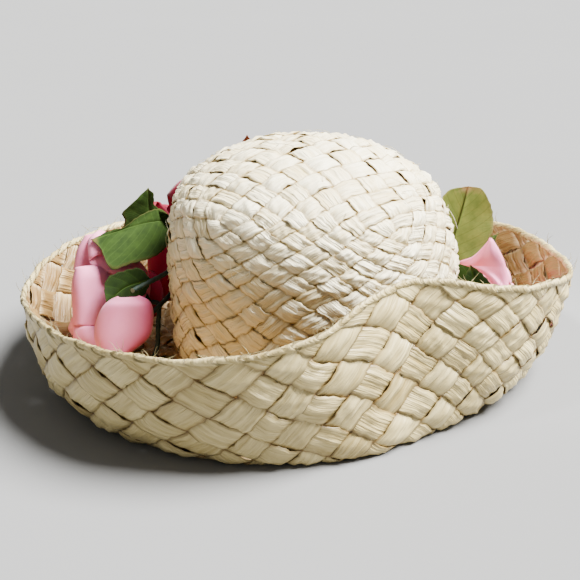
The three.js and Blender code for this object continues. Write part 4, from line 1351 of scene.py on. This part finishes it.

# %% [markdown]
# The petals are cotton sateen, dip dyed and shaped over the hot ball: a soft face that scatters light a
# little, deeper in colour towards the foot of a petal. A painted shade darkens the rim of a petal, the
# tucked ends of a hanging one and one side of a draped one. A plain velvet or satin shader would shine
# at its edges like silk, so the sheen is kept low.

# %% Petal cloth
# Real threads are 0.3 mm apart. These waves are 0.7 mm apart, so that they show.
PETAL_THREADS = {"Scale": 45.0, "Distortion": 1.0}
PETAL_FINISH = {
    "Sheen_Weight": 0.12, "Sheen_Roughness": 0.4, "Specular_IOR_Level": 0.2,
    "Subsurface_Weight": 0.12, "Subsurface_Scale": 0.003,
}


def petal_cloth(name, light, deep, shade):
    """Dyed cotton sateen, shaped over a hot ball."""
    material, tree, shader = new_material(name, 0.7, **PETAL_FINISH)
    uv = add(tree, "ShaderNodeUVMap", {"uv_map": "UVMap"}).outputs[0]
    up = add(tree, "ShaderNodeAttribute", {"attribute_name": "petal_v"}).outputs["Fac"]
    out = add(tree, "ShaderNodeAttribute", {"attribute_name": "petal_u"}).outputs["Fac"]
    cloud = add(tree, "ShaderNodeTexNoise", Vector=uv, Scale=6.0, Detail=3.0).outputs["Fac"]
    dye = add(tree, "ShaderNodeMath", TIMES_PLUS, i0=cloud, i1=0.3, i2=up).outputs[0]
    share = add(tree, "ShaderNodeMapRange", i0=dye, i1=0.15, i2=0.85).outputs[0]
    face = add(tree, "ShaderNodeMix", COLOURS, i0=share, i6=linear(deep), i7=linear(light)).outputs[2]
    # painted shade at the rim of a petal
    rim = add(tree, "ShaderNodeMapRange", i0=out, i1=0.75, i2=1.0, i3=0.0, i4=0.4).outputs[0]
    whole = add(tree, "ShaderNodeMix", COLOURS, i0=rim, i6=face, i7=linear(shade))
    tree.links.new(whole.outputs[2], shader.inputs["Base Color"])
    warp = add(tree, "ShaderNodeTexWave", ACROSS_BANDS, Vector=uv, **PETAL_THREADS)
    weft = add(tree, "ShaderNodeTexWave", ALONG_BANDS, Vector=uv, **PETAL_THREADS)
    weave = add(tree, "ShaderNodeMath", PLUS, i0=warp.outputs["Fac"], i1=weft.outputs["Fac"])
    bump = add(tree, "ShaderNodeBump", Strength=0.2, Distance=0.0002, Height=weave.outputs[0])
    tree.links.new(bump.outputs[0], shader.inputs["Normal"])
    return material


pink_cloth = petal_cloth("pink_petal_cloth", "#ee8fb0", "#b64570", "#cd6c8e")
red_cloth = petal_cloth("red_petal_cloth", "#82092b", "#38020f", "#560619")
print("petal cloths", pink_cloth.name, red_cloth.name)

# %% Roses
PETAL_THICK = 0.35  # mm

for name in ROSES:
    slot, cloth = ("pink_petals", pink_cloth) if "pink" in name else ("red_petals", red_cloth)
    shape = rose_shape(name)
    finish_piece(shape.build(name + "_petals", [cloth, deep_leaf]), name, PETAL_THICK)
    print(name, shape.count, "points")

# %% [markdown]
# ## Camera
# The hat is seen from a little above and from a bit less than a metre away, so near things look
# larger. A longer lens from further off would flatten that. The camera looks 24 degrees down, and
# its aim is turned a little off the hat's axis, which puts the hat where the picture has it.

# %% Camera
PICTURE, SENSOR, FOCUS = 580, 36, 1334  # px across, mm across, focal length in px
VIEW_LIFT, AIM_SHIFT = 24, (-23, 70)  # degrees, and px from the aim to the middle of the picture
lift = math.radians(VIEW_LIFT)
forward = Vector((0, math.cos(lift), -math.sin(lift)))
upward = Vector((0, math.sin(lift), math.cos(lift)))
aim = forward * VIEW_FOCUS + Vector((1, 0, 0)) * AIM_SHIFT[0] + upward * AIM_SHIFT[1]
camera = bpy.data.objects.new("camera", bpy.data.cameras.new("camera"))
bpy.context.scene.collection.objects.link(camera)
camera.data.lens = FOCUS / PICTURE * SENSOR
camera.data.sensor_width = SENSOR
camera.data.clip_start, camera.data.clip_end = 0.01, 20
camera.location = Vector(AXIS) * MM - forward * VIEW_DISTANCE * MM
camera.rotation_mode = "QUATERNION"
camera.rotation_quaternion = aim.to_track_quat("-Z", "Y")
bpy.context.scene.camera = camera
print("lens %.1f mm" % camera.data.lens)

# %% [markdown]
# ## Floor and light
# The hat stands on plain pale paper in a light room. One broad sun, high on the right, throws its
# soft shadow to the left, and the room fills the shade. White paper would throw so much light up
# under the brim that the straw there lost its depth, so the paper is a pale grey. A small lamp over
# the left shoulder of the crown lightens the trough on the right, as a white wall close by would.

# %% Floor
FLOOR_HALF, FLOOR_DOWN = 6000, (0, 0, 0.1)  # mm, and a hair below the straw that lies on it
SQUARE = np.array([(-1, -1, 0), (1, -1, 0), (1, 1, 0), (-1, 1, 0)])


def mottled_paper(name, dark, light):
    """Uncoated paper: dull, and mottled so little that it reads as one colour."""
    material, tree, shader = new_material(name, 0.9)
    speckle = add(tree, "ShaderNodeTexNoise", Scale=60.0).outputs["Fac"]
    colour = add(tree, "ShaderNodeMix", COLOURS, i0=speckle, i6=linear(dark), i7=linear(light))
    tree.links.new(colour.outputs[2], shader.inputs["Base Color"])
    return material


corners = SQUARE * FLOOR_HALF - AXIS - FLOOR_DOWN
paper = Shape()
paper.add(corners, [(0, 1, 2, 3)], corners[:, :2] * MM_TO_UV)
paper.build("floor", [mottled_paper("floor_paper", "#767675", "#797978")])
print("floor", 2 * FLOOR_HALF * MM, "m across")

# %% Light
ROOM_LIGHT = 0.35
SUN_AZIMUTH, SUN_LIFT = 6, 57  # degrees
LAMP_PLACE, LAMP_AIM, LAMP_CONE = Vector((-0.25, -0.25, 1.0)), Vector((0.14, 0.03, 0.06)), 15


def light(name, kind, way, **settings):
    """A light that shines one way."""
    lamp = bpy.data.objects.new(name, bpy.data.lights.new(name, kind))
    for key, value in settings.items():
        setattr(lamp.data, key, value)
    lamp.rotation_mode = "QUATERNION"
    lamp.rotation_quaternion = way.to_track_quat("-Z", "Y")
    bpy.context.scene.collection.objects.link(lamp)
    return lamp


world = bpy.data.worlds.new("studio")
bpy.context.scene.world = world
world.use_nodes = True
background = world.node_tree.nodes["Background"]
background.inputs["Color"].default_value = (1, 1, 1, 1)
background.inputs["Strength"].default_value = ROOM_LIGHT

light("sun", "SUN", -Vector(direction(SUN_AZIMUTH, SUN_LIFT)), energy=26, angle=0.6)
cone = {"spot_size": math.radians(LAMP_CONE), "spot_blend": 1}
lamp = light("lamp", "SPOT", LAMP_AIM - LAMP_PLACE, energy=90, shadow_soft_size=0.08, **cone)
lamp.location = LAMP_PLACE
print("lights: the room, the sun and a lamp")

# %% [markdown]
# ## The end
# The view layer is brought up to date, which ends the script.

# %% Finish
bpy.context.view_layer.update()
